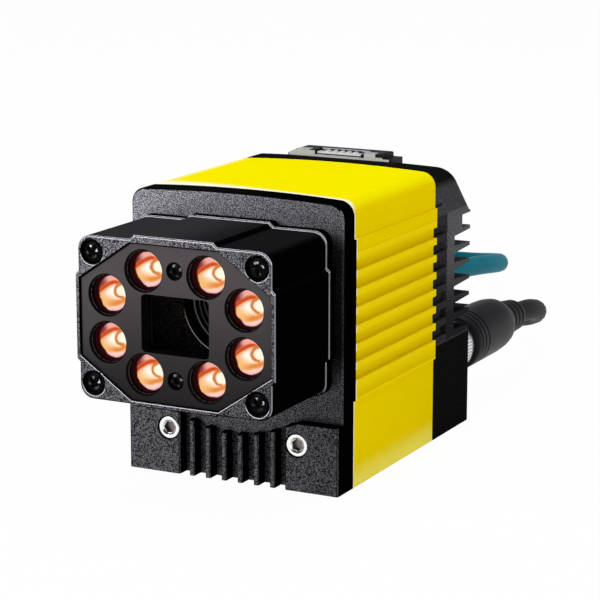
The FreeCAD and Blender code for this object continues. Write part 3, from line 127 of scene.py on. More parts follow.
class Graph:
    """A node tree that is filled from Python."""

    def __init__(self, tree):
        self.tree = tree

    def node(self, kind, settings=(), inputs=(), out=0):
        made = self.tree.nodes.new(kind)
        for name, setting in dict(settings).items():
            setattr(made, name, setting)
        for key, given in dict(inputs).items():
            if isinstance(given, Wire):
                self.tree.links.new(given.socket, made.inputs[key])
            else:
                made.inputs[key].default_value = given
        return Wire(self, made.outputs[out])

    def split(self, vector):
        parts = self.node("ShaderNodeSeparateXYZ", (), {0: vector}).socket.node.outputs
        return [Wire(self, part) for part in parts]


class Finish(Graph):
    """One material: helpers for the textures that the finishes share, and the shader's own sockets."""

    def __init__(self, name, **constants):
        self.material = bpy.data.materials.new(name)
        self.material.use_nodes = True
        super().__init__(self.material.node_tree)
        self.shader = self.tree.nodes["Principled BSDF"]
        self.set(**constants)

    def set(self, **given):
        """Sets or links the shader's sockets by name, and returns the material."""
        for name, setting in given.items():
            socket = self.shader.inputs[name.replace("_", " ").title().replace("Ior", "IOR")]
            if isinstance(setting, Wire):
                self.tree.links.new(setting.socket, socket)
            elif isinstance(setting, tuple) and len(setting) == 3:
                socket.default_value = (*setting, 1.0)
            else:
                socket.default_value = setting
        return self.material

    def place(self, stretch=(1.0, 1.0, 1.0)):
        spot = self.node("ShaderNodeTexCoord", out="Object")
        return self.node("ShaderNodeMapping", (), {"Vector": spot, "Scale": stretch})

    def spot_mm(self):
        """The place on the piece as x, y and z in millimetres."""
        return self.split(self.place((1.0 / MM, 1.0 / MM, 1.0 / MM)))

    def normal(self):
        return self.split(self.node("ShaderNodeNewGeometry", out="True Normal"))

    def faces_front(self):
        """1 where the surface faces forwards, 0 elsewhere."""
        return (-1.0 * self.normal()[1]).step(0.74, 0.95)

    def faces_up(self):
        return self.normal()[2].step(0.3, 0.8)

    def faces_right(self):
        return self.normal()[0].step(0.3, 0.8)

    def right_bevel(self):
        """1 on the bevels between a front and a right-hand face, 0 elsewhere."""
        x, y = self.normal()[:2]
        return x.band(0.6, 0.8, 0.08) * (-1.0 * y).band(0.6, 0.8, 0.08)

    def upper_edge(self, radius):
        """1 along the corners where a surface turns upwards, 0 elsewhere."""
        soft = self.node("ShaderNodeBevel", {"samples": 4}, {"Radius": radius})
        flat = self.node("ShaderNodeNewGeometry", out="True Normal")
        match = self.node("ShaderNodeVectorMath", {"operation": "DOT_PRODUCT"}, {0: soft, 1: flat},
                          out="Value")
        return match.step(0.99, 0.93) * self.split(soft)[2].step(0.1, 0.3)

    def noise(self, scale, detail=2.0, rough=0.5, along=(1.0, 1.0, 1.0)):
        inputs = {"Vector": self.place(along), "Scale": scale, "Detail": detail, "Roughness": rough}
        return self.node("ShaderNodeTexNoise", (), inputs)

    def mix(self, share, one, other):
        paints = {key: paint if isinstance(paint, Wire) else (*paint, 1.0)
                  for key, paint in ((6, one), (7, other))}
        return self.node("ShaderNodeMix", {"data_type": "RGBA"}, {0: share, **paints}, out=2)

    def mottled(self, noise, dark, light):
        """A soft blend of two paints by a noise."""
        return self.mix(noise.step(0.3, 0.7), dark, light)

    def over(self, paint, *coats):
        """Lays coats on a paint one after the other, each given as its mask and its colour."""
        for mask, tint in coats:
            paint = self.mix(mask, paint, tint)
        return paint

    def bump(self, height, strength, distance, edge=0.0):
        """A bumped normal; with an edge radius, the corners are softened first."""
        inputs = {"Height": height, "Strength": strength, "Distance": distance}
        if edge:
            inputs["Normal"] = self.node("ShaderNodeBevel", {"samples": 4}, {"Radius": edge})
        return self.node("ShaderNodeBump", (), inputs)


def grey(level):
    return (level, level, level)


def cool(level):
    """The slightly violet grey of the coats."""
    return (level * 1.02, level, level * 1.1)


def powder_coat_with_painted_light(name, low_pair, high_pair, top, edge_y, shade):
    """Black powder coat with painted light: fine grain painted bright on the faces that the light strikes,
    and painted shade, plain black, elsewhere.

    The painted light is stronger higher up and on the left, nearer to the light, and weaker in a painted
    shadow right of the head. Painted highlights run along the foremost upper and right-hand edges.
    """
    coat = Finish(name, specular_tint=(0.0, 0.0, 0.0), specular_ior_level=0.0)
    grain = coat.noise(3300.0, rough=0.6)
    tooth = coat.noise(1100.0)
    fleck = (grain + 0.15 * (tooth - 0.5)).step(0.40, 0.63)
    x, y, z = coat.spot_mm()
    front = coat.faces_front()
    bevel = coat.right_bevel()
    # Painted light on the lit faces: grain lighter higher up, nearer the light.
    low, high = (coat.mix(fleck, *(cool(level) for level in pair)) for pair in (low_pair, high_pair))
    # Painted glints in the grain high up, and painted shade towards the right, away from the light.
    painted_grain_glints = 0.5 * grain.step(0.64, 0.72) * z.step(30.0, 62.0)
    painted_far_side_shade = 0.36 * x.step(-14.0, 29.0)
    # A painted shadow of the head on the plate to its right.
    painted_head_shadow = shade * x.step(20.0, 26.0) * z.band(36.0, 60.0, 9.0)
    # Painted shade on front faces set back behind the plate.
    painted_setback_shade = y.step(-36.6, -36.2)
    # A painted highlight on the right-hand bevels at the foremost edge.
    rim = bevel * y.step(edge_y + 0.8, edge_y + 0.6)
    painted_rim_highlight = coat.mix(y.band(edge_y + 0.1, edge_y + 0.22, 0.1), cool(0.01), cool(0.3))
    lit = coat.over(coat.mix(z.step(18.0, 62.0), low, high), (painted_grain_glints, cool(0.85)), (painted_far_side_shade, cool(0.0)),
                    (painted_head_shadow, cool(0.002)), (painted_setback_shade, cool(0.001)), (rim, painted_rim_highlight))
    # A painted highlight, glowing, along the foremost upper edges.
    line = coat.upper_edge(0.3 * MM) * y.step(edge_y + 0.4, edge_y + 0.25)
    # Painted shade on the faces that the light misses: tops dark and darker to the right, the rest black.
    painted_top_shade = coat.mix(x.step(-6.0, 14.0), cool(top), cool(0.3 * top))
    plain = coat.mix(coat.faces_up() * (1.0 - coat.faces_right()), cool(0.0008), painted_top_shade)
    # Front faces show the painted light with a metallic sheen; the others show the painted shade.
    face = coat.mix(front.most(bevel), plain, lit)
    return coat.set(base_color=coat.mix(line, face, cool(0.92)), metallic=0.93 * front,
                    emission_strength=1.0, emission_color=coat.mix(line, cool(0.0), cool(0.45)),
                    roughness=0.5 - 0.12 * fleck, normal=coat.bump(grain, 0.3, 0.1 * MM))


def rear_coat_with_painted_light():
    """The rear casting's coat: painted light on grey sides, painted shade on the slots, top and sockets."""
    coat = Finish("rear_casting_coat", specular_ior_level=0.0)
    grain = coat.noise(1900.0, rough=0.6)
    fleck = grain.step(0.35, 0.7)
    y, z = coat.spot_mm()[1:]
    # Painted light and shade by zone: grey sides, a rail lighter higher up, darker slots, black top and socket
    # block.
    side, low_rail, high_rail, slots, block = (
        coat.mix(fleck, cool(dark), cool(light))
        for dark, light in ((0.040, 0.080), (0.012, 0.026), (0.080, 0.14), (0.022, 0.044), (0.004, 0.010)))
    rail = coat.mix(z.step(30.0, 52.0), low_rail, high_rail)
    zone = coat.mix(y.step(24.3, 25.3), slots, rail)
    shade = coat.over(side, (z.band(26.0, 59.5, 0.8), zone), (z.step(25.7, 25.0), block),
                      (z.step(66.5, 69.5), block))
    return coat.set(base_color=shade, roughness=0.6 - 0.1 * fleck,
                    normal=coat.bump(grain, 0.3, 0.12 * MM, 0.2 * MM))


def mask_grey_with_painted_light():
    """The mask's satin black with painted light: lighter towards its top and left, and painted shade, plain
    black, on its upper rim and in its openings.
    """
    skin = Finish("satin_mask_grey", specular_ior_level=0.03)
    fine = skin.noise(900.0, 3.0, 0.6)
    x, z = skin.spot_mm()[::2]
    rise = z - LENS_AXIS
    slope = 0.565 * abs(x) + 0.825 * rise
    # Painted light: lighter towards the top and on the left nearer the light; a painted shadow line along the
    # upper rim.
    face = skin.mix(z.step(22.0, 66.0), (0.016, 0.014, 0.015), (0.088, 0.077, 0.081))
    face = skin.over(face,
                     (0.3 * x.step(-12.0, -26.0) * z.step(30.0, 45.0), (0.125, 0.113, 0.118)),
                     (rise.step(18.75, 18.95).most(slope.step(22.0, 22.2)), grey(0.002)))
    # Faces that do not face forwards get painted shade.
    return skin.set(base_color=skin.mix(skin.faces_front(), grey(0.004), face),
                    roughness=0.5 + 0.12 * (fine - 0.5), normal=skin.bump(fine, 0.04, 0.1 * MM, 0.2 * MM))


def satin(name, dark, light, roughness, scale=900.0, grain=0.06, specular=0.5):
    """A smooth moulding or paint with a faint, fine grain."""
    skin = Finish(name, specular_ior_level=specular)
    fine = skin.noise(scale, 3.0, 0.6)
    return skin.set(base_color=skin.mottled(skin.noise(45.0), dark, light),
                    roughness=roughness + 0.12 * (fine - 0.5), normal=skin.bump(fine, grain, 0.1 * MM))


def yellow_paint():
    """Yellow paint on the extruded hood with painted light: painted shade in the grooves, a top painted
    lighter than the sides, painted highlights at its edges and a painted floor reflection low down.
    """
    paint = Finish("yellow_paint", specular_ior_level=0.0)
    peel = paint.noise(420.0)
    cloud = paint.noise(30.0)
    x, y, z = paint.spot_mm()
    up = paint.faces_up()
    # Painted shade in the grooves: light on each crest, darker below it.
    rise = ((z - GROOVE_FOOT) / GROOVE_PITCH).fraction()
    crest = rise.step(0.02, 0.85) * rise.step(1.0, 0.93)
    painted_groove_shade = paint.mix(crest, (0.79, 0.575, 0.0), (0.92, 0.71, 0.004))
    # The side, with the painted groove shade and a painted pale reflection of the floor low down.
    side = paint.over(paint.mottled(cloud, (0.88, 0.665, 0.0), (0.91, 0.685, 0.0)),
                      (z.band(22.6, 59.4, 0.4), painted_groove_shade), (z.step(7.0, 0.5), (0.98, 0.86, 0.12)))
    # The top, painted lighter than the side, as lit from above.
    top = paint.mottled(cloud, (0.915, 0.80, 0.0), (0.93, 0.82, 0.0))
    # A painted pale highlight along the front edges, wider to the left, and along the upper left edge.
    behind = y - COVER_FRONT
    reach = behind / (2.4 + 6.0 * x.step(14.0, -29.0))
    painted_edge_highlight = (up * reach.step(1.0, 0.2)).most(0.8 * behind.step(0.55, 0.3))
    painted_edge_highlight = painted_edge_highlight.most(0.7 * up * x.step(-23.5, -28.6))
    shade = paint.over(side, (up * z.step(66.0, 70.0), top), (painted_edge_highlight, (0.98, 0.96, 0.78)))
    return paint.set(base_color=shade, roughness=0.36 + 0.08 * peel,
                     normal=paint.bump(peel, 0.05, 0.1 * MM))


def metal(name, tint, roughness, along=(1.0, 1.0, 1.0)):
    """Bare or plated metal with fine tool marks, which a stretch below 1 draws out into lines."""
    bare = Finish(name, metallic=1.0)
    lines = bare.noise(900.0, 3.0, 0.6, along)
    darker = tuple(part * 0.8 for part in tint)
    return bare.set(base_color=bare.mottled(bare.noise(160.0), darker, tint),
                    roughness=roughness + 0.15 * (lines - 0.5), normal=bare.bump(lines, 0.08, 0.05 * MM))


def screw_steel():
    """Bright turned steel, with painted shade down in the screws' sockets."""
    bare = Finish("bright_screw_steel", metallic=1.0)
    # Painted shade down in the sockets.
    deep = abs(bare.spot_mm()[1]).step(-CASE_FACE - 0.32, -CASE_FACE - 1.1)
    worn = bare.noise(500.0)
    return bare.set(base_color=bare.mix(deep, bare.mix(worn, grey(0.9), grey(0.98)), (0.19, 0.17, 0.155)),
                    roughness=0.25 + 0.1 * worn, normal=bare.bump(worn, 0.05, 0.05 * MM))


def black_screw(name, place, glint_brightness):
    """Blackened steel with painted highlights round each recess; the place is from the lens axis."""
    skin = Finish(name, specular_ior_level=0.03)
    x, z = skin.spot_mm()[::2]
    rise = z - LENS_AXIS
    x, z = x - place[0] * x.sign(), rise - place[1] * rise.sign()
    away = (x * x + z * z).root().most(0.01)
    turn, lift = (0.94 * x + 0.34 * z) / away, (0.94 * z - 0.34 * x) / away
    wings = (1.0 - 8.0 * turn * turn * lift * lift).step(0.1, 0.8)
    side = (0.75 * turn + 0.65 * lift).step(-1.1, 0.9)
    fine = skin.noise(900.0)
    # Painted highlights round the recess, as glints of a lamp.
    painted_recess_glints = wings * side * away.band(1.2, 1.42, 0.3) * fine.step(0.3, 0.5)
    return skin.set(base_color=skin.mix(painted_recess_glints, grey(0.0025), grey(glint_brightness)), roughness=0.2 + 0.1 * fine,
                    normal=skin.bump(fine, 0.05, 0.05 * MM))


def clear_pane(name, tint, alpha, specular):
    """A thin coated pane: partly see-through, with a sharp reflection."""
    pane = Finish(name, specular_ior_level=specular)
    smear = pane.noise(120.0)
    lighter = tuple(part * 1.3 for part in tint)
    return pane.set(base_color=pane.mottled(smear, tint, lighter), roughness=0.03 + 0.05 * smear,
                    alpha=alpha + 0.02 * smear)


def circuit_board():
    board = Finish("green_circuit_board")
    copper = board.node("ShaderNodeTexVoronoi", {"distance": "MANHATTAN"},
                        {"Vector": board.place(), "Scale": 420.0})
    track = copper.step(0.2, 0.35)
    return board.set(base_color=board.mix(track, (0.05, 0.22, 0.09), (0.02, 0.11, 0.05)), roughness=0.35,
                     normal=board.bump(track, 0.3, 0.05 * MM))


def lit_emitter():
    chip = Finish("lit_red_emitter", emission_strength=2.0)
    return chip.set(base_color=(0.9, 0.2, 0.08), roughness=0.3,
                    emission_color=chip.mottled(chip.noise(700.0, 1.0), (1.0, 0.2, 0.05), (1.0, 0.5, 0.3)))


def lit_lens():
    """A collimator over a lit red source: white body, red and orange bands, and a hooked inner image.

    Across the face, u runs right and v up, in millimetres from the middle.
    """
    lens = Finish("lit_collimator", emission_strength=1.0, specular_ior_level=0.05)
    face = lens.split(lens.node("ShaderNodeUVMap", {"uv_map": "lens_face"}))
    wave = 1.1 * (lens.noise(330.0) - 0.5)
    u, v = (LAMP_FACE_SPAN * (part - 0.5) + wave for part in face[:2])
    away = (1.16 * u * u + v * v).root()
    upper = v - 0.34 * u + 0.11 * (u + 1.0) * (u + 1.0) - 2.45
    lower = v - 0.15 * u - 0.09 * u * u + 2.75
    hook_u, hook_v = u - 1.65, v - 0.4
    reach = (hook_u * hook_u + hook_v * hook_v).root()
    shut = ((0.9 * hook_u + 0.1 * hook_v) / reach.most(0.01)).step(0.45, -0.25)
    edge = away.step(4.15, 4.4)
    body = lens.mix(away.step(1.7, 4.3), (1.0, 0.96, 0.84), (0.93, 0.45, 0.20))
    # The top of the image darkens to the left, where the hole's edge shades the lens: painted shadow.
    crown = lens.mix(u.step(-3.2, -1.4), (0.26, 0.04, 0.04), (0.84, 0.42, 0.36))
    sole = lens.mix(away.step(3.3, 4.2), (1.0, 0.74, 0.68), (0.86, 0.48, 0.50))
    rim = lens.mix(away.step(4.4, 4.7), (0.05, 0.004, 0.003), (0.012, 0.001, 0.001))
    paint = lens.over(body,
                      (0.75 * v.step(-0.4, -2.3), (0.96, 0.55, 0.17)),
                      (upper.step(-1.6, -0.1), (0.92, 0.36, 0.09)),
                      (upper.step(0.15, 0.85), crown),
                      (upper.band(-0.12, 0.2, 0.75) * u.step(2.8, 0.4), (0.62, 0.06, 0.01)),
                      (lower.band(-0.05, 0.2, 0.85) * u.step(-3.4, 0.2), (0.78, 0.24, 0.04)),
                      (lower.step(-0.35, -1.0), sole),
                      (reach.step(1.7, 1.2), (1.0, 0.94, 0.76)),
                      (shut * reach.band(1.62, 1.9, 0.6), (0.64, 0.20, 0.04)),
                      (edge, rim))
    return lens.set(base_color=(0.03, 0.012, 0.01), roughness=0.12 + 0.05 * edge, emission_color=paint)


def lamp_bore():
    """Black lining of a lamp hole, with one painted highlight line and a painted red glow next to the lens."""
    lining = Finish("lamp_bore_lining", specular_ior_level=0.0, emission_strength=1.0)
    y = lining.spot_mm()[1]
    deep = y.step(LAMP_FACE - 1.3, LAMP_FACE - 0.1)
    ring = y.band(MASK_FACE + 0.78, MASK_FACE + 0.86, 0.08)
    grain = lining.noise(1500.0)
    # Painted light that glows: the lens's red light on the lining next to it, and a highlight line.
    glow = lining.over(grey(0.001), (deep, (0.034, 0.002, 0.002)),
                       (ring * grain.step(0.35, 0.6), (0.07, 0.045, 0.05)))
    return lining.set(base_color=grey(0.002), roughness=0.4 + 0.1 * grain, emission_color=glow)


def ringed_lens_black():
    """Black anodising on the lens ring, with glowing painted highlights along the edges of its steps."""
    skin = Finish("ringed_lens_black", specular_ior_level=0.3, emission_strength=1.0)
    x, z = skin.spot_mm()[::2]
    rise = z - LENS_AXIS
    away = (x * x + rise * rise).root()
    pitch = 0.9
    # Painted highlights along the edges of the steps, lighter and glowing.
    line = away.band(11.9, 12.0, 0.10)
    fine = ((away - 8.0) * (2.0 * math.pi / pitch)).sine().step(0.75, 1.0) * away.band(8.2, 11.6, 0.2)
    glint = skin.over(grey(0.0), (fine, grey(0.06)), (line, grey(0.12)))
    return skin.set(base_color=skin.mix(line, grey(0.008), grey(0.1)),
                    roughness=0.3 + 0.1 * skin.noise(700.0), emission_color=glint)


def panel_fascia():
    """The control panel: black, its front pale grey up and over the upper edge between dark tabs."""
    skin = Finish("control_panel_fascia", specular_ior_level=0.1)
    x, y, z = skin.spot_mm()
    block = x.band(10.6, 13.6, 0.15)
    face = skin.faces_front() * x.band(-14.9, 14.4, 0.2) * z.step(72.95, 73.1)
    face = face * (1.0 - block * z.step(73.85, 74.0))
    tabs = x.band(-8.7, -7.1, 0.12).most(x.band(5.8, 7.1, 0.12)).most(block)
    lip = skin.faces_up() * y.step(PANEL_FACE + 2.6, PANEL_FACE + 2.35) * x.band(-12.5, 10.4, 0.15)
    grain = skin.noise(900.0)
    pale = skin.mix(grain, (0.55, 0.55, 0.61), (0.63, 0.63, 0.69))
    # The top lip takes the pale paint in a darker tone than the front: painted shade on the lip.
    wrap = skin.mix(grain, (0.36, 0.36, 0.41), (0.43, 0.43, 0.48))
    shade = skin.over(grey(0.006), (face, pale), (lip * (1.0 - tabs), wrap))
    return skin.set(base_color=shade, roughness=0.45 + 0.1 * grain, normal=skin.bump(grain, 0.05, 0.1 * MM))


def key_face():
    """The push button: a pale front half with a dark line below it, and a dark rear half."""
    skin = Finish("push_button_face", specular_ior_level=0.1)
    x, y, z = skin.spot_mm()
    pale = x.step(6.0, 5.7) * y.step(PANEL_FACE + 2.75, PANEL_FACE + 2.5)
    pale = pale * z.step(PANEL_TOP - 1.1, PANEL_TOP - 0.95)
    grain = skin.noise(900.0)
    # Tops painted lighter than the front, as lit from above: painted light.
    light = skin.mix(skin.faces_up(), skin.mix(grain, (0.72, 0.72, 0.78), (0.82, 0.82, 0.88)),
                     skin.mix(grain, (0.52, 0.53, 0.58), (0.58, 0.59, 0.64)))
    return skin.set(base_color=skin.mix(pale, grey(0.005), light), roughness=0.45 + 0.1 * grain,
                    normal=skin.bump(grain, 0.05, 0.1 * MM))


def jacket(name, dark, light):
    """A smooth extruded cable jacket with a faint grain."""
    skin = Finish(name, specular_ior_level=0.02)
    fine = skin.noise(1800.0)
    return skin.set(base_color=skin.mottled(skin.noise(70.0), dark, light),
                    roughness=0.45 + 0.1 * (fine - 0.5), normal=skin.bump(fine, 0.06, 0.08 * MM))


def woven_strap():
    strap = Finish("woven_strap", specular_ior_level=0.2)
    x, y, z = strap.split(strap.place())
    threads = 6000.0
    weave = ((x + y) * threads).sine() * ((y - z) * threads).sine()
    return strap.set(base_color=strap.mix(weave.step(-1.0, 1.0), grey(0.012), grey(0.05)), roughness=0.85,
                     normal=strap.bump(weave, 0.5, 0.2 * MM))


def lead_insulation():
    """Thin coloured insulation; each lead carries its own tint."""
    skin = Finish("lead_insulation", specular_ior_level=0.4)
    tint = skin.node("ShaderNodeAttribute", {"attribute_name": "lead_tint"})
    fine = skin.noise(1500.0)
    darker = skin.node("ShaderNodeMix", {"data_type": "RGBA", "blend_type": "MULTIPLY"},
                       {0: 1.0, 6: tint, 7: (0.8, 0.8, 0.8, 1.0)}, out=2)
    return skin.set(base_color=skin.mottled(fine, darker, tint), roughness=0.4 + 0.1 * fine)


FINISHES = {
    "head_coat": powder_coat_with_painted_light("head_powder_coat", (0.006, 0.2), (0.012, 0.28), top=0.028, edge_y=HEAD_FACE,
                             shade=0.0),
    "plate_coat": powder_coat_with_painted_light("plate_powder_coat", (0.009, 0.155), (0.045, 0.48), top=0.004,
                              edge_y=BOSS_FACE, shade=0.85),
    "rear_coat_with_painted_light": rear_coat_with_painted_light(),
    "mask": mask_grey_with_painted_light(),
    "panel": panel_fascia(),
    "key": key_face(),
    "yellow": yellow_paint(),
    "aluminium": metal("machined_aluminium", (0.62, 0.63, 0.64), roughness=0.35, along=(1.0, 0.05, 1.0)),
    "steel": screw_steel(),
    "black_steel": black_screw("blackened_head_screw", HEAD_SCREW, glint_brightness=0.95),
    "mask_steel": black_screw("blackened_mask_screw", MASK_SCREW, glint_brightness=0.3),
    "nickel": metal("nickel_plate", (0.74, 0.74, 0.74), roughness=0.2),
    "glass": clear_pane("window_glass", grey(0.004), alpha=0.06, specular=0.06),
    "lens_glass": clear_pane("coated_lens_glass", (0.004, 0.004, 0.008), alpha=0.5, specular=0.2),
    "lens_black": satin("black_anodised_lens", grey(0.006), grey(0.010), roughness=0.35, scale=600.0,
                        grain=0.05, specular=0.3),
    "lens_rings": ringed_lens_black(),
    "board": circuit_board(),
    "chip": satin("moulded_chip_black", grey(0.012), grey(0.02), roughness=0.55),
    "emitter": lit_emitter(),
    "seal": satin("seal_rubber", grey(0.008), grey(0.012), roughness=0.7, specular=0.2),
    "brass": metal("turned_brass", (0.78, 0.6, 0.3), roughness=0.3),
    "plug": satin("moulded_plug_black", (0.008, 0.008, 0.010), (0.013, 0.013, 0.016), roughness=0.42,
                  scale=700.0, grain=0.08, specular=0.08),
    "teal": jacket("teal_cable_jacket", (0.0, 0.15, 0.205), (0.001, 0.175, 0.24)),
    "black_jacket": jacket("black_cable_jacket", grey(0.012), grey(0.02)),
    "strap": woven_strap(),
    "jack": satin("teal_jack_moulding", (0.02, 0.16, 0.2), (0.03, 0.2, 0.24), roughness=0.3),
    "clear_jack": satin("clear_jack_moulding", (0.50, 0.54, 0.56), (0.58, 0.62, 0.64), roughness=0.12,
                        scale=300.0, grain=0.02),
    "gold": metal("gold_contacts", (0.9, 0.68, 0.3), roughness=0.25),
    "shrink": satin("shrunk_sleeve", grey(0.012), grey(0.02), roughness=0.5),
    "leads": lead_insulation(),
    "copper": metal("tinned_copper", (0.75, 0.62, 0.52), roughness=0.35),
    "lamp": lit_lens(),
    "lamp_bore": lamp_bore(),
}
# The CAD nodes that are shown as they are, by finish.
NODE_FINISHES = {
    "plate_coat": ["front_housing"],
    "head_coat": ["torch_housing"],
    "rear_coat_with_painted_light": ["rear_housing"],
    "mask": ["lamp_mask"],
    "panel": ["control_panel"],
    "key": ["push_button"],
    "yellow": ["cover"],
    "aluminium": ["chassis", "heat_spreader"],
    "nickel": ["ethernet_socket", "signal_socket"],
    "glass": ["window_pane"],
    "lens_glass": ["front_element"],
    "lens_rings": ["lens_ring"],
    "lens_black": ["lens_barrel", "lens_mount"],
    "board": ["lamp_board", "sensor_board", "main_board", "connector_board"],
    "chip": ["processor", "image_sensor", "button_switch"],
    "emitter": ["lamp_emitters"],
    "seal": ["front_seal", "rear_seal", "head_seal"],
    "brass": ["board_standoffs"],
}


def dress_nodes():
    for finish, names in NODE_FINISHES.items():
        for name in names:
            slots = NODES[name].data.materials
            slots.clear()
            slots.append(FINISHES[finish])


def add(name, data):
    item = bpy.data.objects.new(name, data)
    bpy.context.scene.collection.objects.link(item)
    return item


def install(name, shape, nodes=(), body="reader", finish=None):
    """Makes a mesh or bmesh a piece of the reader, in place of CAD nodes where there are any."""
    mesh = close_mesh(shape, name) if isinstance(shape, bmesh.types.BMesh) else shape
    if finish:
        mesh.materials.append(FINISHES[finish])
    item = add(name, mesh)
    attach(item, body)
    if nodes:
        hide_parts(*nodes)
    return item


def close_mesh(bm, name, sharp=34.0):
    """Merges doubles, turns the faces outwards, and keeps only the real corners sharp."""
    bmesh.ops.remove_doubles(bm, verts=bm.verts, dist=1e-7)
    bmesh.ops.recalc_face_normals(bm, faces=bm.faces)
    for face in bm.faces:
        face.smooth = True
    for edge in bm.edges:
        edge.smooth = len(edge.link_faces) == 2 and edge.calc_face_angle() < math.radians(sharp)
    mesh = bpy.data.meshes.new(name)
    bm.to_mesh(mesh)
    bm.free()
    return mesh


def join_rings(bm, one, other):
    """Faces between two rings of points, or between a ring and a pole."""
    count = max(len(one), len(other))
    for k in range(count):
        corners = [ring[n % len(ring)] for ring, n in ((one, k), (one, k + 1), (other, k + 1), (other, k))]
        bm.faces.new(list(dict.fromkeys(corners)))


def turned(bm, profile, segments=48, relief=None, bend=None, tube=False):
    """A form turned about Y: (radius, y) pairs in millimetres, with a pole where the radius is 0.

    The relief deepens the face at (x, z), the bend moves finished points, and a tube's last ring joins its
    first.
    """
    rings = []
    for radius, y in profile:
        angles = [2.0 * math.pi * k / segments for k in range(segments)] if radius else [0.0]
        ring = []
        for angle in angles:
            x, z = radius * math.cos(angle), radius * math.sin(angle)
            spot = Vector((x, y + (relief(x, z) if relief else 0.0), z))
            ring.append(bm.verts.new((bend(spot) if bend else spot) * MM))
        rings.append(ring)
    for one, other in zip(rings, rings[1:]):
        join_rings(bm, one, other)
    if tube:
        join_rings(bm, rings[-1], rings[0])


def turned_mesh(name, profile, segments=48, relief=None, bend=None, tube=False, sharp=34.0):
    bm = bmesh.new()
    turned(bm, profile, segments, relief, bend, tube)
    return close_mesh(bm, name, sharp)


def beveled_block(bm, low, high, bevel, steps=2):
    """A block between two corners in millimetres, with round edges."""
    made = bmesh.ops.create_cube(bm, size=1.0)["verts"]
    for vert in made:
        for axis in range(3):
            share = vert.co[axis] + 0.5
            vert.co[axis] = (low[axis] + (high[axis] - low[axis]) * share) * MM
    edges = list({edge for vert in made for edge in vert.link_edges})
    bmesh.ops.bevel(bm, geom=edges, offset=bevel * MM, segments=steps, affect="EDGES", profile=0.5)


def group_tree(name, output, **sizes):
    """A Geometry Nodes tree with named inputs; returns its graph, its inputs and the piece to be copied."""
    tree = bpy.data.node_groups.new(name, "GeometryNodeTree")
    kinds = {"Seats": "Geometry", "Piece": "Object", "Finish": "Material", **sizes}
    for label, kind in kinds.items():
        tree.interface.new_socket(label, in_out="INPUT", socket_type=f"NodeSocket{kind}")
    tree.interface.new_socket(output, in_out="OUTPUT", socket_type="NodeSocketGeometry")
    graph = Graph(tree)
    sockets = tree.nodes.new("NodeGroupInput").outputs
    given = {label: Wire(graph, sockets[label]) for label in kinds}
    piece = graph.node("GeometryNodeObjectInfo", (), {"Object": given["Piece"], "As Instance": True},
                       "Geometry")
    return graph, given, piece


def end_tree(graph, copies, finish):
    """Realises the copies, paints them and hands them out."""
    solid = graph.node("GeometryNodeRealizeInstances", (), {"Geometry": copies})
    painted = graph.node("GeometryNodeSetMaterial", (), {"Geometry": solid, "Material": finish})
    result = graph.tree.nodes.new("NodeGroupOutput")
    graph.tree.links.new(painted.socket, result.inputs[0])
    return graph.tree


def seats_tree():
    """A copy of one piece on each seat, turned as the seat's facing says and spun by chance on its axis."""
    graph, given, piece = group_tree("pieces_on_seats", "Pieces", Spin="Float")
    facing = graph.node("GeometryNodeInputNamedAttribute", {"data_type": "FLOAT_VECTOR"}, {"Name": "facing"})
    copies = graph.node("GeometryNodeInstanceOnPoints", (), {"Points": given["Seats"], "Instance": piece,
                                                             "Rotation": facing})
    seed = 5
    chance = graph.node("FunctionNodeRandomValue", {"data_type": "FLOAT"},
                        {2: 0.0, 3: given["Spin"], 8: seed}, out=1)
    spin = graph.node("ShaderNodeCombineXYZ", (), {1: chance})
    copies = graph.node("GeometryNodeRotateInstances", (), {"Instances": copies, "Rotation": spin,
                                                            "Local Space": True})
    return end_tree(graph, copies, given["Finish"])


def ring_tree():
    """Copies of one rib in a ring round an axis along Y."""
    graph, given, piece = group_tree("ribs_in_a_ring", "Ribs", Count="Int", Radius="Float", Middle="Vector")
    circle = graph.node("GeometryNodeMeshCircle", (), {"Vertices": given["Count"], "Radius": given["Radius"]})
    number = graph.node("GeometryNodeInputIndex")
    turn = graph.node("ShaderNodeCombineXYZ", (), {2: number * (2.0 * math.pi) / given["Count"]})
    copies = graph.node("GeometryNodeInstanceOnPoints", (), {"Points": circle, "Instance": piece,
                                                             "Rotation": turn})
    upright = (-math.pi / 2.0, 0.0, 0.0)
    copies = graph.node("GeometryNodeTransform", (), {"Geometry": copies, "Translation": given["Middle"],
                                                      "Rotation": upright})
    return end_tree(graph, copies, given["Finish"])


def grow(name, tree, seed, piece, finish, **sizes):
    """Runs a tree on a seed mesh with one master piece, and keeps the result as a plain mesh."""
    master = add(f"{name}_master", piece)
    holder = add(f"{name}_seed", seed)
    modifier = holder.modifiers.new("grow", "NODES")
    modifier.node_group = tree
    wanted = {"Piece": master, "Finish": FINISHES[finish], **sizes}
    for item in tree.interface.items_tree:
        if item.in_out == "INPUT" and item.name in wanted:
            modifier[item.identifier] = wanted[item.name]
    graph = bpy.context.evaluated_depsgraph_get()
    mesh = bpy.data.meshes.new_from_object(holder.evaluated_get(graph))
    mesh.name = name
    holder.modifiers.remove(modifier)
    for spare in (master, holder):
        bpy.data.objects.remove(spare)
    return mesh


def seats(spots, facings=None):
    """Seat points in millimetres, each with the turn of the piece that sits there."""
    mesh = bpy.data.meshes.new("seats")
    mesh.from_pydata([tuple(part * MM for part in spot) for spot in spots], [], [])
    layer = mesh.attributes.new("facing", "FLOAT_VECTOR", "POINT")
    for item, facing in zip(layer.data, facings or [(0.0, 0.0, 0.0)] * len(spots)):
        item.vector = facing
    return mesh


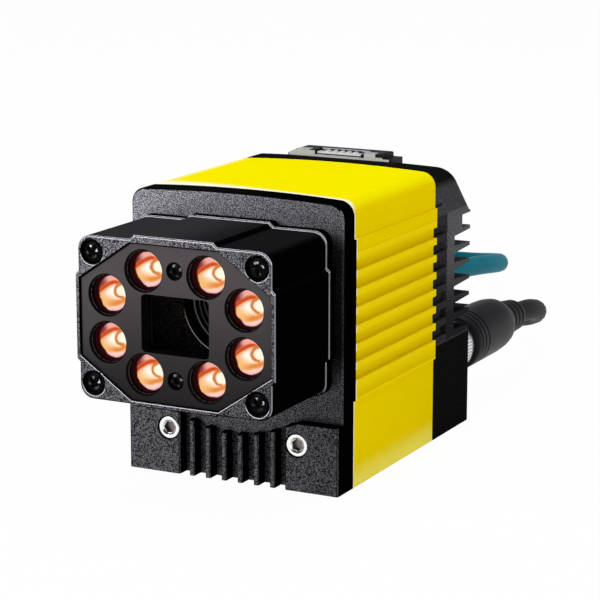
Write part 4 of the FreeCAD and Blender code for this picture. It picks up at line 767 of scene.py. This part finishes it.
def install_copies(name, spots, master, finish, nodes=(), spin=0.0, facings=None):
    """Installs copies of one piece as a single piece; each is spun by chance, up to the spin."""
    mesh = grow(name, SEATS_TREE, seats(spots, facings), master, finish, Spin=spin)
    return install(name, mesh, nodes)


def within(value, low, high):
    """A soft step for shapes: 0 at low, 1 at high; low may be the larger."""
    return ease((value - low) / (high - low))


def ease(share):
    share = min(max(share, 0.0), 1.0)
    return share * share * (3.0 - 2.0 * share)


def cross_recess(x, z):
    """Depth of a cross-point recess with sloping walls."""
    arms = [within(abs(across), 0.52, 0.34) * within(abs(along), 1.75, 1.35)
            for along, across in ((x, z), (z, x))]
    cone = within(math.hypot(x, z), 1.0, 0.3)
    return 0.75 * max(arms) + 0.35 * cone


def hex_recess(size, depth):
    """Depth of a hexagon socket of a given half width across its flats."""
    def relief(x, z):
        across = max(abs(x * math.cos(angle) + z * math.sin(angle))
                     for angle in (math.radians(turn) for turn in (0, 60, 120)))
        return depth * within(across, size + 0.08, size - 0.06)
    return relief


def face_profile(radius, rings, height, edge=0.0):
    """Fine rings across a screw's face; the height is that of the face above its edge, by radius."""
    return [(radius * n / rings, edge - height(radius * n / rings)) for n in range(rings + 1)]


def pan_head_screws():
    """Four black pan-head screws with cross recesses in the ears of the illumination head."""
    radius, edge, under, shank = 2.85, 0.95, 1.6, 1.4
    profile = face_profile(radius, 44, lambda r: 0.85 * (1.0 - (r / radius) ** 2.6), edge)
    profile += [(radius, under), (shank, under), (shank, 32.6), (0.0, 32.8)]
    master = turned_mesh("pan_head_screw", profile, 72, cross_recess)
    across, rise = HEAD_SCREW
    spots = [(sx * across, HEAD_FACE, LENS_AXIS + sz * rise) for sz in (1, -1) for sx in (-1, 1)]
    install_copies("pan_head_screws", spots, master, "black_steel", ["head_screws"], 1.4)


def mask_fixing_screws():
    """Two small black socket screws that hold the lamp mask."""
    radius, edge, under, shank = 2.0, 0.85, 1.25, 1.2
    profile = face_profile(radius, 36, lambda r: 0.55 * (1.0 - (r / radius) ** 2), edge)
    profile += [(radius, under), (shank, under), (shank, 13.9), (0.0, 14.0)]
    master = turned_mesh("mask_screw", profile, 60, hex_recess(0.62, 0.7))
    spots = [(MASK_SCREW[0], MASK_FACE, LENS_AXIS + side * MASK_SCREW[1]) for side in (1, -1)]
    install_copies("mask_fixing_screws", spots, master, "mask_steel", ["mask_screws"], 1.0)


def socket_screws():
    """Bright hexagon-socket screws: two in the front housing and two in the rear one."""
    radius, under, shank = 2.92, 3.0, 1.45
    profile = face_profile(2.6, 44, lambda r: -0.55 * within(r, 2.15, 1.5))
    profile += [(2.8, 0.08), (radius, 0.25), (radius, under), (shank, under), (shank, 14.2), (0.0, 14.4)]
    master = turned_mesh("socket_screw", profile, 72, hex_recess(1.3, 1.2))
    sunk = 0.2
    front = [(side * CASE_SCREW[0], CASE_FACE + sunk, CASE_SCREW[1]) for side in (-1, 1)]
    rear = [(side * REAR_SCREW[0], CASE_REAR - sunk, REAR_SCREW[1]) for side in (-1, 1)]
    facings = [(0.0, 0.0, 0.0)] * 2 + [(0.0, 0.0, math.pi)] * 2
    install_copies("socket_screws", front + rear, master, "steel", ["case_screws"], 0.9,
                   facings)


def lamp_spots(y):
    spots = []
    for name in LAMPS:
        low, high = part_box(name)
        spots.append(((low[0] + high[0]) / 2.0 / MM, y, (low[2] + high[2]) / 2.0 / MM))
    return spots


def lamp_lenses():
    """Eight lit collimators: a flat rim, a stepped bowl and a convex middle."""
    steps, middle, rim = 8, 1.7, 4.6
    bulge = [(middle * n / steps, 0.75 + 0.55 * (n / steps) ** 2) for n in range(steps + 1)]
    bowl = [(1.72, 1.5), (2.5, 1.25), (2.52, 1.1), (3.3, 0.6), (3.32, 0.45), (4.05, 0.05), (4.2, 0.0),
            (4.55, 0.0)]
    profile = bulge + bowl + [(rim, 0.06), (rim, 1.8), (2.6, 5.4), (0.0, 5.4)]
    master = turned_mesh("collimator", profile, 64, sharp=50.0)
    layer = master.uv_layers.new(name="lens_face")
    for loop in master.loops:
        spot = master.vertices[loop.vertex_index].co
        layer.data[loop.index].uv = [0.5 + part / MM / LAMP_FACE_SPAN for part in (spot.x, spot.z)]
    install_copies("lit_collimators", lamp_spots(LAMP_FACE), master, "lamp", LAMPS)


def lamp_sleeves():
    """A thin stepped lining in each lamp hole."""
    outer = 4.98
    inner = [(4.93, 0.3), (4.93, 0.75), (4.82, 0.85), (4.9, 1.1), (4.9, 1.5), (4.76, 1.6), (4.86, 1.9),
             (4.86, 2.3), (4.68, 2.45), (4.68, 2.94)]
    profile = [(outer, 0.28)] + inner + [(outer, 2.94)]
    master = turned_mesh("lamp_sleeve", profile, 64, tube=True, sharp=25.0)
    install_copies("lamp_sleeves", lamp_spots(MASK_FACE), master, "lamp_bore")


def knurled_nut(name, side):
    """A plated coupling nut: a turned ring with a band of fine ribs."""
    bore, band, lip, front, rear = 6.1, 7.05, 6.6, 42.8, 52.0
    band_end = rear - 2.8
    ring = [(bore, front + 0.3), (bore + 0.3, front), (band - 0.25, front), (band, front + 0.3),
            (band, band_end), (lip, rear - 2.4), (lip, rear - 0.3), (lip - 0.25, rear), (bore, rear)]
    bm = bmesh.new()
    turned(bm, ring, 72, tube=True)
    bmesh.ops.translate(bm, verts=bm.verts, vec=Vector((side * SOCKET_X, 0.0, SOCKET_Z)) * MM)
    rib = bmesh.new()
    beveled_block(rib, (-0.25, -0.24, -2.9), (0.22, 0.24, 2.9), 0.14)
    middle = Vector((side * SOCKET_X, (front + band_end) / 2.0, SOCKET_Z)) * MM
    ribs = grow(f"{name}_ribs", RING_TREE, bpy.data.meshes.new("ring_seed"), close_mesh(rib, "knurl_rib"),
                "nickel", Count=48, Radius=7.07 * MM, Middle=middle)
    bm.from_mesh(ribs)
    install(f"{name}_coupling_nut", bm, [f"{name}_nut"], f"{name}_coupling", "nickel")


def cable_plug(name, side, droop):
    """A moulded plug: a grooved collar that narrows at its end, and a ringed strain relief to the cable."""
    collar, boot, tip = 52.3, 82.3, 97.3
    crown, groove = 7.85, 7.55
    profile = [(0.0, 43.0), (4.3, 43.0), (4.3, 48.6), (5.7, 48.6), (5.7, collar), (7.2, collar),
               (7.6, collar + 0.25)]
    for n in range(3):
        start = collar + 0.8 + 2.4 * n
        profile += [(crown, start), (crown, start + 1.5), (groove, start + 1.65), (groove, start + 2.25)]
    profile += [(crown, 60.3), (crown, 73.3), (7.6, 77.8), (7.2, 80.4), (6.6, 81.8), (5.6, boot), (4.7, boot)]
    rings = 4
    for n in range(rings):
        crest = 5.4 - 0.25 * n
        start = boot + 1.2 + 3.3 * n
        profile += [(crest - 0.6, start), (crest - 0.1, start + 0.1), (crest, start + 0.5),
                    (crest, start + 1.7), (crest - 0.1, start + 2.1), (crest - 0.6, start + 2.2)]
    profile += [(4.0, tip - 0.5), (3.7, tip), (0.0, tip)]
    pivot = Vector((0.0, boot, 0.0))
    fall = Matrix.Rotation(-math.radians(droop), 3, "X")
    middle = Vector((side * SOCKET_X, 0.0, SOCKET_Z))

    def bend(spot):
        hung = pivot + fall @ (spot - pivot) if spot.y > boot else spot
        return hung + middle

    mesh = turned_mesh(f"{name}_moulded_plug", profile, 56, bend=bend)
    return install(f"{name}_moulded_plug", mesh, [f"{name}_plug"], finish="plug")


def coil_strap(name, centre):
    """A woven strap round the coil's turns, with an overlapping end."""
    half_y, half_z, corner, width, thick = 10.1, 10.15, 3.4, 4.0, 0.7
    middle_y, middle_z = centre[1] - COIL_RADIUS, 10.25
    rim = []
    for turn, (sy, sz) in enumerate(((1, 1), (-1, 1), (-1, -1), (1, -1))):
        for k in range(7):
            angle = math.radians(90.0 * turn + 15.0 * k)
            rim.append((middle_y + sy * (half_y - corner) + corner * math.cos(angle),
                        middle_z + sz * (half_z - corner) + corner * math.sin(angle), angle))
    bm = bmesh.new()
    loops = []
    for x, out in ((-width, 0.0), (width, 0.0), (width, -thick), (-width, -thick)):
        spots = [(centre[0] + x, y + out * math.cos(angle), z + out * math.sin(angle)) for y, z, angle in rim]
        loops.append([bm.verts.new(Vector(spot) * MM) for spot in spots])
    for n, loop in enumerate(loops):
        join_rings(bm, loop, loops[(n + 1) % len(loops)])
    beveled_block(bm, (centre[0] - width, middle_y - 5.5, middle_z + half_z - 0.1),
                  (centre[0] + width, middle_y + 4.0, middle_z + half_z + 0.6), 0.25)
    return install(f"{name}_strap", bm, [f"{name}_tie"], finish="strap")


def network_plug():
    """The network cable's far plug: a clear body with gilt contacts, a latch and a ribbed sleeve."""
    x, y = ETHERNET_COIL[0] - COIL_RADIUS, ETHERNET_COIL[1]
    base = COIL_TOP
    half, nose, pitch = 5.85, 21.5, 1.15
    body = bmesh.new()
    beveled_block(body, (x - half, y - nose, base), (x + half, y - 8.0, base + 6.6), 0.35)
    beveled_block(body, (x - half, y - 9.0, base), (x + half, y, base + 8.0), 0.5)
    for n in range(9):
        rail = x - 4.6 + pitch * n
        beveled_block(body, (rail - 0.2, y - 21.4, base + 5.6), (rail + 0.2, y - 15.0, base + 7.6), 0.08, 1)
    beveled_block(body, (x - 3.0, y - 21.0, base + 7.4), (x + 3.0, y - 4.5, base + 8.6), 0.3)
    shell = install("network_plug_shell", body, ["network_jack"], finish="clear_jack")
    pin = bmesh.new()
    beveled_block(pin, (-0.2, 0.0, 0.0), (0.2, 5.6, 1.3), 0.06, 1)
    spots = [(x - 4.02 + pitch * n, y - 21.2, base + 6.1) for n in range(8)]
    contacts = install_copies("network_plug_contacts", spots, close_mesh(pin, "contact"), "gold")
    sleeve = bmesh.new()
    beveled_block(sleeve, (x - 4.5, y - 0.6, base + 0.1), (x + 4.5, y + 9.0, base + 6.6), 0.9, 3)
    for n in range(3):
        near = y + 1.6 + 2.4 * n
        beveled_block(sleeve, (x - 4.8, near, base), (x + 4.8, near + 1.3, base + 6.9), 0.4)
    boot = install("network_plug_sleeve", sleeve, finish="jack")
    return [shell, contacts, boot]


def stripped_leads():
    """The signal cable's far end: a shrunk sleeve, six tinted leads that fan out, and their bare tips."""
    shift = Vector((SIGNAL_COIL[0] - COIL_RADIUS, SIGNAL_COIL[1], COIL_TOP + 3.8))
    profile = [(0.0, -0.6), (2.9, -0.5), (3.4, 0.0), (3.8, 1.4), (3.8, 14.0), (3.6, 16.0), (0.0, 16.0)]
    sleeve = turned_mesh("shrunk_sleeve", profile, 40, bend=lambda spot: spot + shift)
    cuff = install("shrunk_sleeve", sleeve, ["signal_leads"], finish="shrink")
    tints = ((0.55, 0.02, 0.02), (0.02, 0.02, 0.02), (0.7, 0.7, 0.7), (0.02, 0.22, 0.05), (0.03, 0.06, 0.35),
             (0.28, 0.10, 0.03))
    radius, reach = 0.75, 22.0
    skin = [(0.0, -17.5), *((radius, y) for y in (-17.5, -13.0, -9.0, -5.0, 0.6)), (0.0, 0.6)]
    wire = [(0.0, -21.8), (0.4, -21.6), (0.4, -17.4), (0.0, -17.4)]
    cover, core = bmesh.new(), bmesh.new()
    tint_layer = cover.loops.layers.float_color.new("lead_tint")
    for n, tint in enumerate(tints):
        angle = 2.0 * math.pi * n / len(tints)
        spread = Vector((math.cos(angle), 0.0, math.sin(angle)))

        def bend(spot, spread=spread):
            away = max(0.0, -spot.y) / reach
            return spot + spread * (2.0 + 0.9 * away * away) + shift

        before = len(cover.faces)
        turned(cover, skin, 16, bend=bend)
        turned(core, wire, 12, bend=bend)
        cover.faces.ensure_lookup_table()
        for face in cover.faces[before:]:
            for loop in face.loops:
                loop[tint_layer] = (*tint, 1.0)
    leads = install("tinted_leads", cover, finish="leads")
    tips = install("bare_lead_tips", core, finish="copper")
    return [cuff, leads, tips]


def place_camera():
    """The photograph's view: from the right and a little above, with a long lens."""
    azimuth, elevation, roll = (math.radians(angle) for angle in (26.98, 12.38, 0.04))
    back = Vector((math.sin(azimuth) * math.cos(elevation), -math.cos(azimuth) * math.cos(elevation),
                   math.sin(elevation)))
    level = Vector((math.cos(azimuth), math.sin(azimuth), 0.0))
    up = back.cross(level)
    right = math.cos(roll) * level + math.sin(roll) * up
    above = math.cos(roll) * up - math.sin(roll) * level
    target = Vector((9.09, -20.62, 43.4)) * MM
    distance = 572.0 * MM
    data = bpy.data.cameras.new("camera")
    data.sensor_width = 36.0
    data.lens = 136.93
    camera = add("camera", data)
    turn = Matrix((right, above, back)).transposed().to_4x4()
    camera.matrix_world = Matrix.Translation(target + back * distance) @ turn
    bpy.context.scene.camera = camera


def coil_points(centre, start, finish):
    """The put-away turns as control points: three layers of three turns, then one pass on top to the end.

    In each turn the cord first climbs to the next turn's layer and then moves over to its radius. Both are
    given as shares of the turn.
    """
    climb, move_over = (0.66, 0.84), (0.86, 1.0)
    radii = (37.9, 31.55, 25.2)
    layers = (3.35, 9.75, 16.1, 22.45)
    slots = [(0, 0), (1, 0), (2, 0), (2, 1), (1, 1), (0, 1), (0, 2), (1, 2), (2, 2), (1, 3)]
    steps = 24
    swell = 1.0 / math.cos(math.pi / steps)

    def point(radius, angle, height):
        reach = radius * swell
        return (centre[0] + reach * math.cos(angle), centre[1] + reach * math.sin(angle), height)

    points = []
    for (here, layer), (there, above) in zip(slots, slots[1:]):
        for n in range(steps):
            share = n / steps
            radius = radii[here] + (radii[there] - radii[here]) * within(share, *move_over)
            height = layers[layer] + (layers[above] - layers[layer]) * within(share, *climb)
            points.append(point(radius, start + 2.0 * math.pi * share, height))
    count = 5
    points += [point(radii[1], start + (finish - start) * n / count, layers[3]) for n in range(count)]
    return points


def cord_curve(name, points, finish):
    data = bpy.data.curves.new(name, "CURVE")
    data.dimensions = "3D"
    data.bevel_depth = CORD_RADIUS * MM
    data.bevel_resolution = 5
    data.resolution_u = 5
    data.use_fill_caps = True
    spline = data.splines.new("NURBS")
    spline.points.add(len(points) - 1)
    for point, spot in zip(spline.points, points):
        point.co = (*(part * MM for part in spot), 1.0)
    spline.order_u = 3
    spline.use_endpoint_u = True
    data.materials.append(FINISHES[finish])
    return add(name, data)


def cord(name, route, centre, angles, sleeve, paint):
    """One cable: out of its plug along the route, round the coil and into the piece on its far end."""
    turns = coil_points(centre, *(math.radians(angle) for angle in angles))
    length, height = sleeve
    rear = (centre[0] - COIL_RADIUS, centre[1] + length)
    run_in = [(rear[0], rear[1] + 5.0, height), (*rear, height)]
    curve = cord_curve(f"{name}_cord", route + turns + run_in, paint)
    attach(curve, "reader")
    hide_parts(f"{name}_cable", f"{name}_coil")


def cords():
    ethernet = [cable_plug("ethernet", -1, 0.0), coil_strap("ethernet", ETHERNET_COIL)] + network_plug()
    cord("ethernet", ETHERNET_ROUTE, ETHERNET_COIL, angles=(90.0, 160.0), sleeve=(9.0, 23.0), paint="teal")
    signal = [cable_plug("signal", 1, 3.0), coil_strap("signal", SIGNAL_COIL)] + stripped_leads()
    cord("signal", SIGNAL_ROUTE, SIGNAL_COIL, angles=(107.0, 148.0), sleeve=(16.0, 23.5),
         paint="black_jacket")


def area_lamp(name, spot, target, size, power):
    data = bpy.data.lights.new(name, "AREA")
    data.shape = "RECTANGLE"
    data.size, data.size_y = size
    data.energy = power
    lamp = add(name, data)
    aim = Vector(target) - Vector(spot)
    lamp.matrix_world = Matrix.Translation(spot) @ aim.to_track_quat("-Z", "Y").to_matrix().to_4x4()


def studio():
    """A pale floor, a studio that is light low down and dim above, three soft lamps and a small sharp one."""
    scene = bpy.context.scene
    scene.view_settings.view_transform = "Standard"
    world = bpy.data.worlds.new("studio")
    world.use_nodes = True
    scene.world = world
    air = Graph(world.node_tree)
    height = air.split(air.node("ShaderNodeTexCoord", out="Generated"))[2]
    level = 0.3 + 0.7 * height.step(0.20, 0.09)
    sky = air.node("ShaderNodeBackground", (), {"Color": (1.0, 1.0, 1.0, 1.0), "Strength": level})
    world.node_tree.links.new(sky.socket, world.node_tree.nodes["World Output"].inputs["Surface"])
    size = 4.0
    mesh = bpy.data.meshes.new("floor")
    mesh.from_pydata([(-size, -size, 0.0), (size, -size, 0.0), (size, size, 0.0), (-size, size, 0.0)], [],
                     [(0, 1, 2, 3)])
    floor = add("floor", mesh)
    mesh.materials.append(floor_finish())
    area_lamp("key_softbox", (-0.55, -0.95, 0.45), (0.0, -0.03, 0.04), size=(0.7, 0.6), power=5.0)
    area_lamp("right_softbox", (0.9, -0.25, 0.35), (0.0, 0.0, 0.04), size=(0.5, 0.6), power=1.5)
    area_lamp("top_softbox", (0.0, 0.1, 1.0), (0.0, 0.0, 0.05), size=(0.7, 0.7), power=5.2)
    area_lamp("edge_glint", (-0.46, -0.50, 0.84), (0.0, -0.04, 0.06), size=(0.06, 0.06), power=0.7)


def floor_finish():
    """White paper: mostly plain white to the eye, so that the object's shadow stays faint."""
    material = bpy.data.materials.new("white_paper")
    material.use_nodes = True
    paper = Graph(material.node_tree)
    material.node_tree.nodes.remove(material.node_tree.nodes["Principled BSDF"])
    path = material.node_tree.nodes.new("ShaderNodeLightPath")
    camera, glossy, through = (Wire(paper, path.outputs[f"Is {kind} Ray"])
                               for kind in ("Camera", "Glossy", "Transmission"))
    seen = camera.most(glossy).most(through)
    matt = paper.node("ShaderNodeBsdfDiffuse", (), {"Color": (0.9, 0.9, 0.9, 1.0)})
    white = paper.node("ShaderNodeEmission", (), {"Color": (1.0, 1.0, 1.0, 1.0), "Strength": 1.0})
    mixed = paper.node("ShaderNodeMixShader", (), {0: seen * 0.975, 1: matt, 2: white})
    output = material.node_tree.nodes["Material Output"]
    material.node_tree.links.new(mixed.socket, output.inputs["Surface"])
    return material


SEATS_TREE = seats_tree()
RING_TREE = ring_tree()

place_camera()
dress_nodes()
pan_head_screws()
mask_fixing_screws()
socket_screws()
lamp_lenses()
lamp_sleeves()
knurled_nut("ethernet", -1)
knurled_nut("signal", 1)
cords()
studio()
bpy.context.view_layer.update()
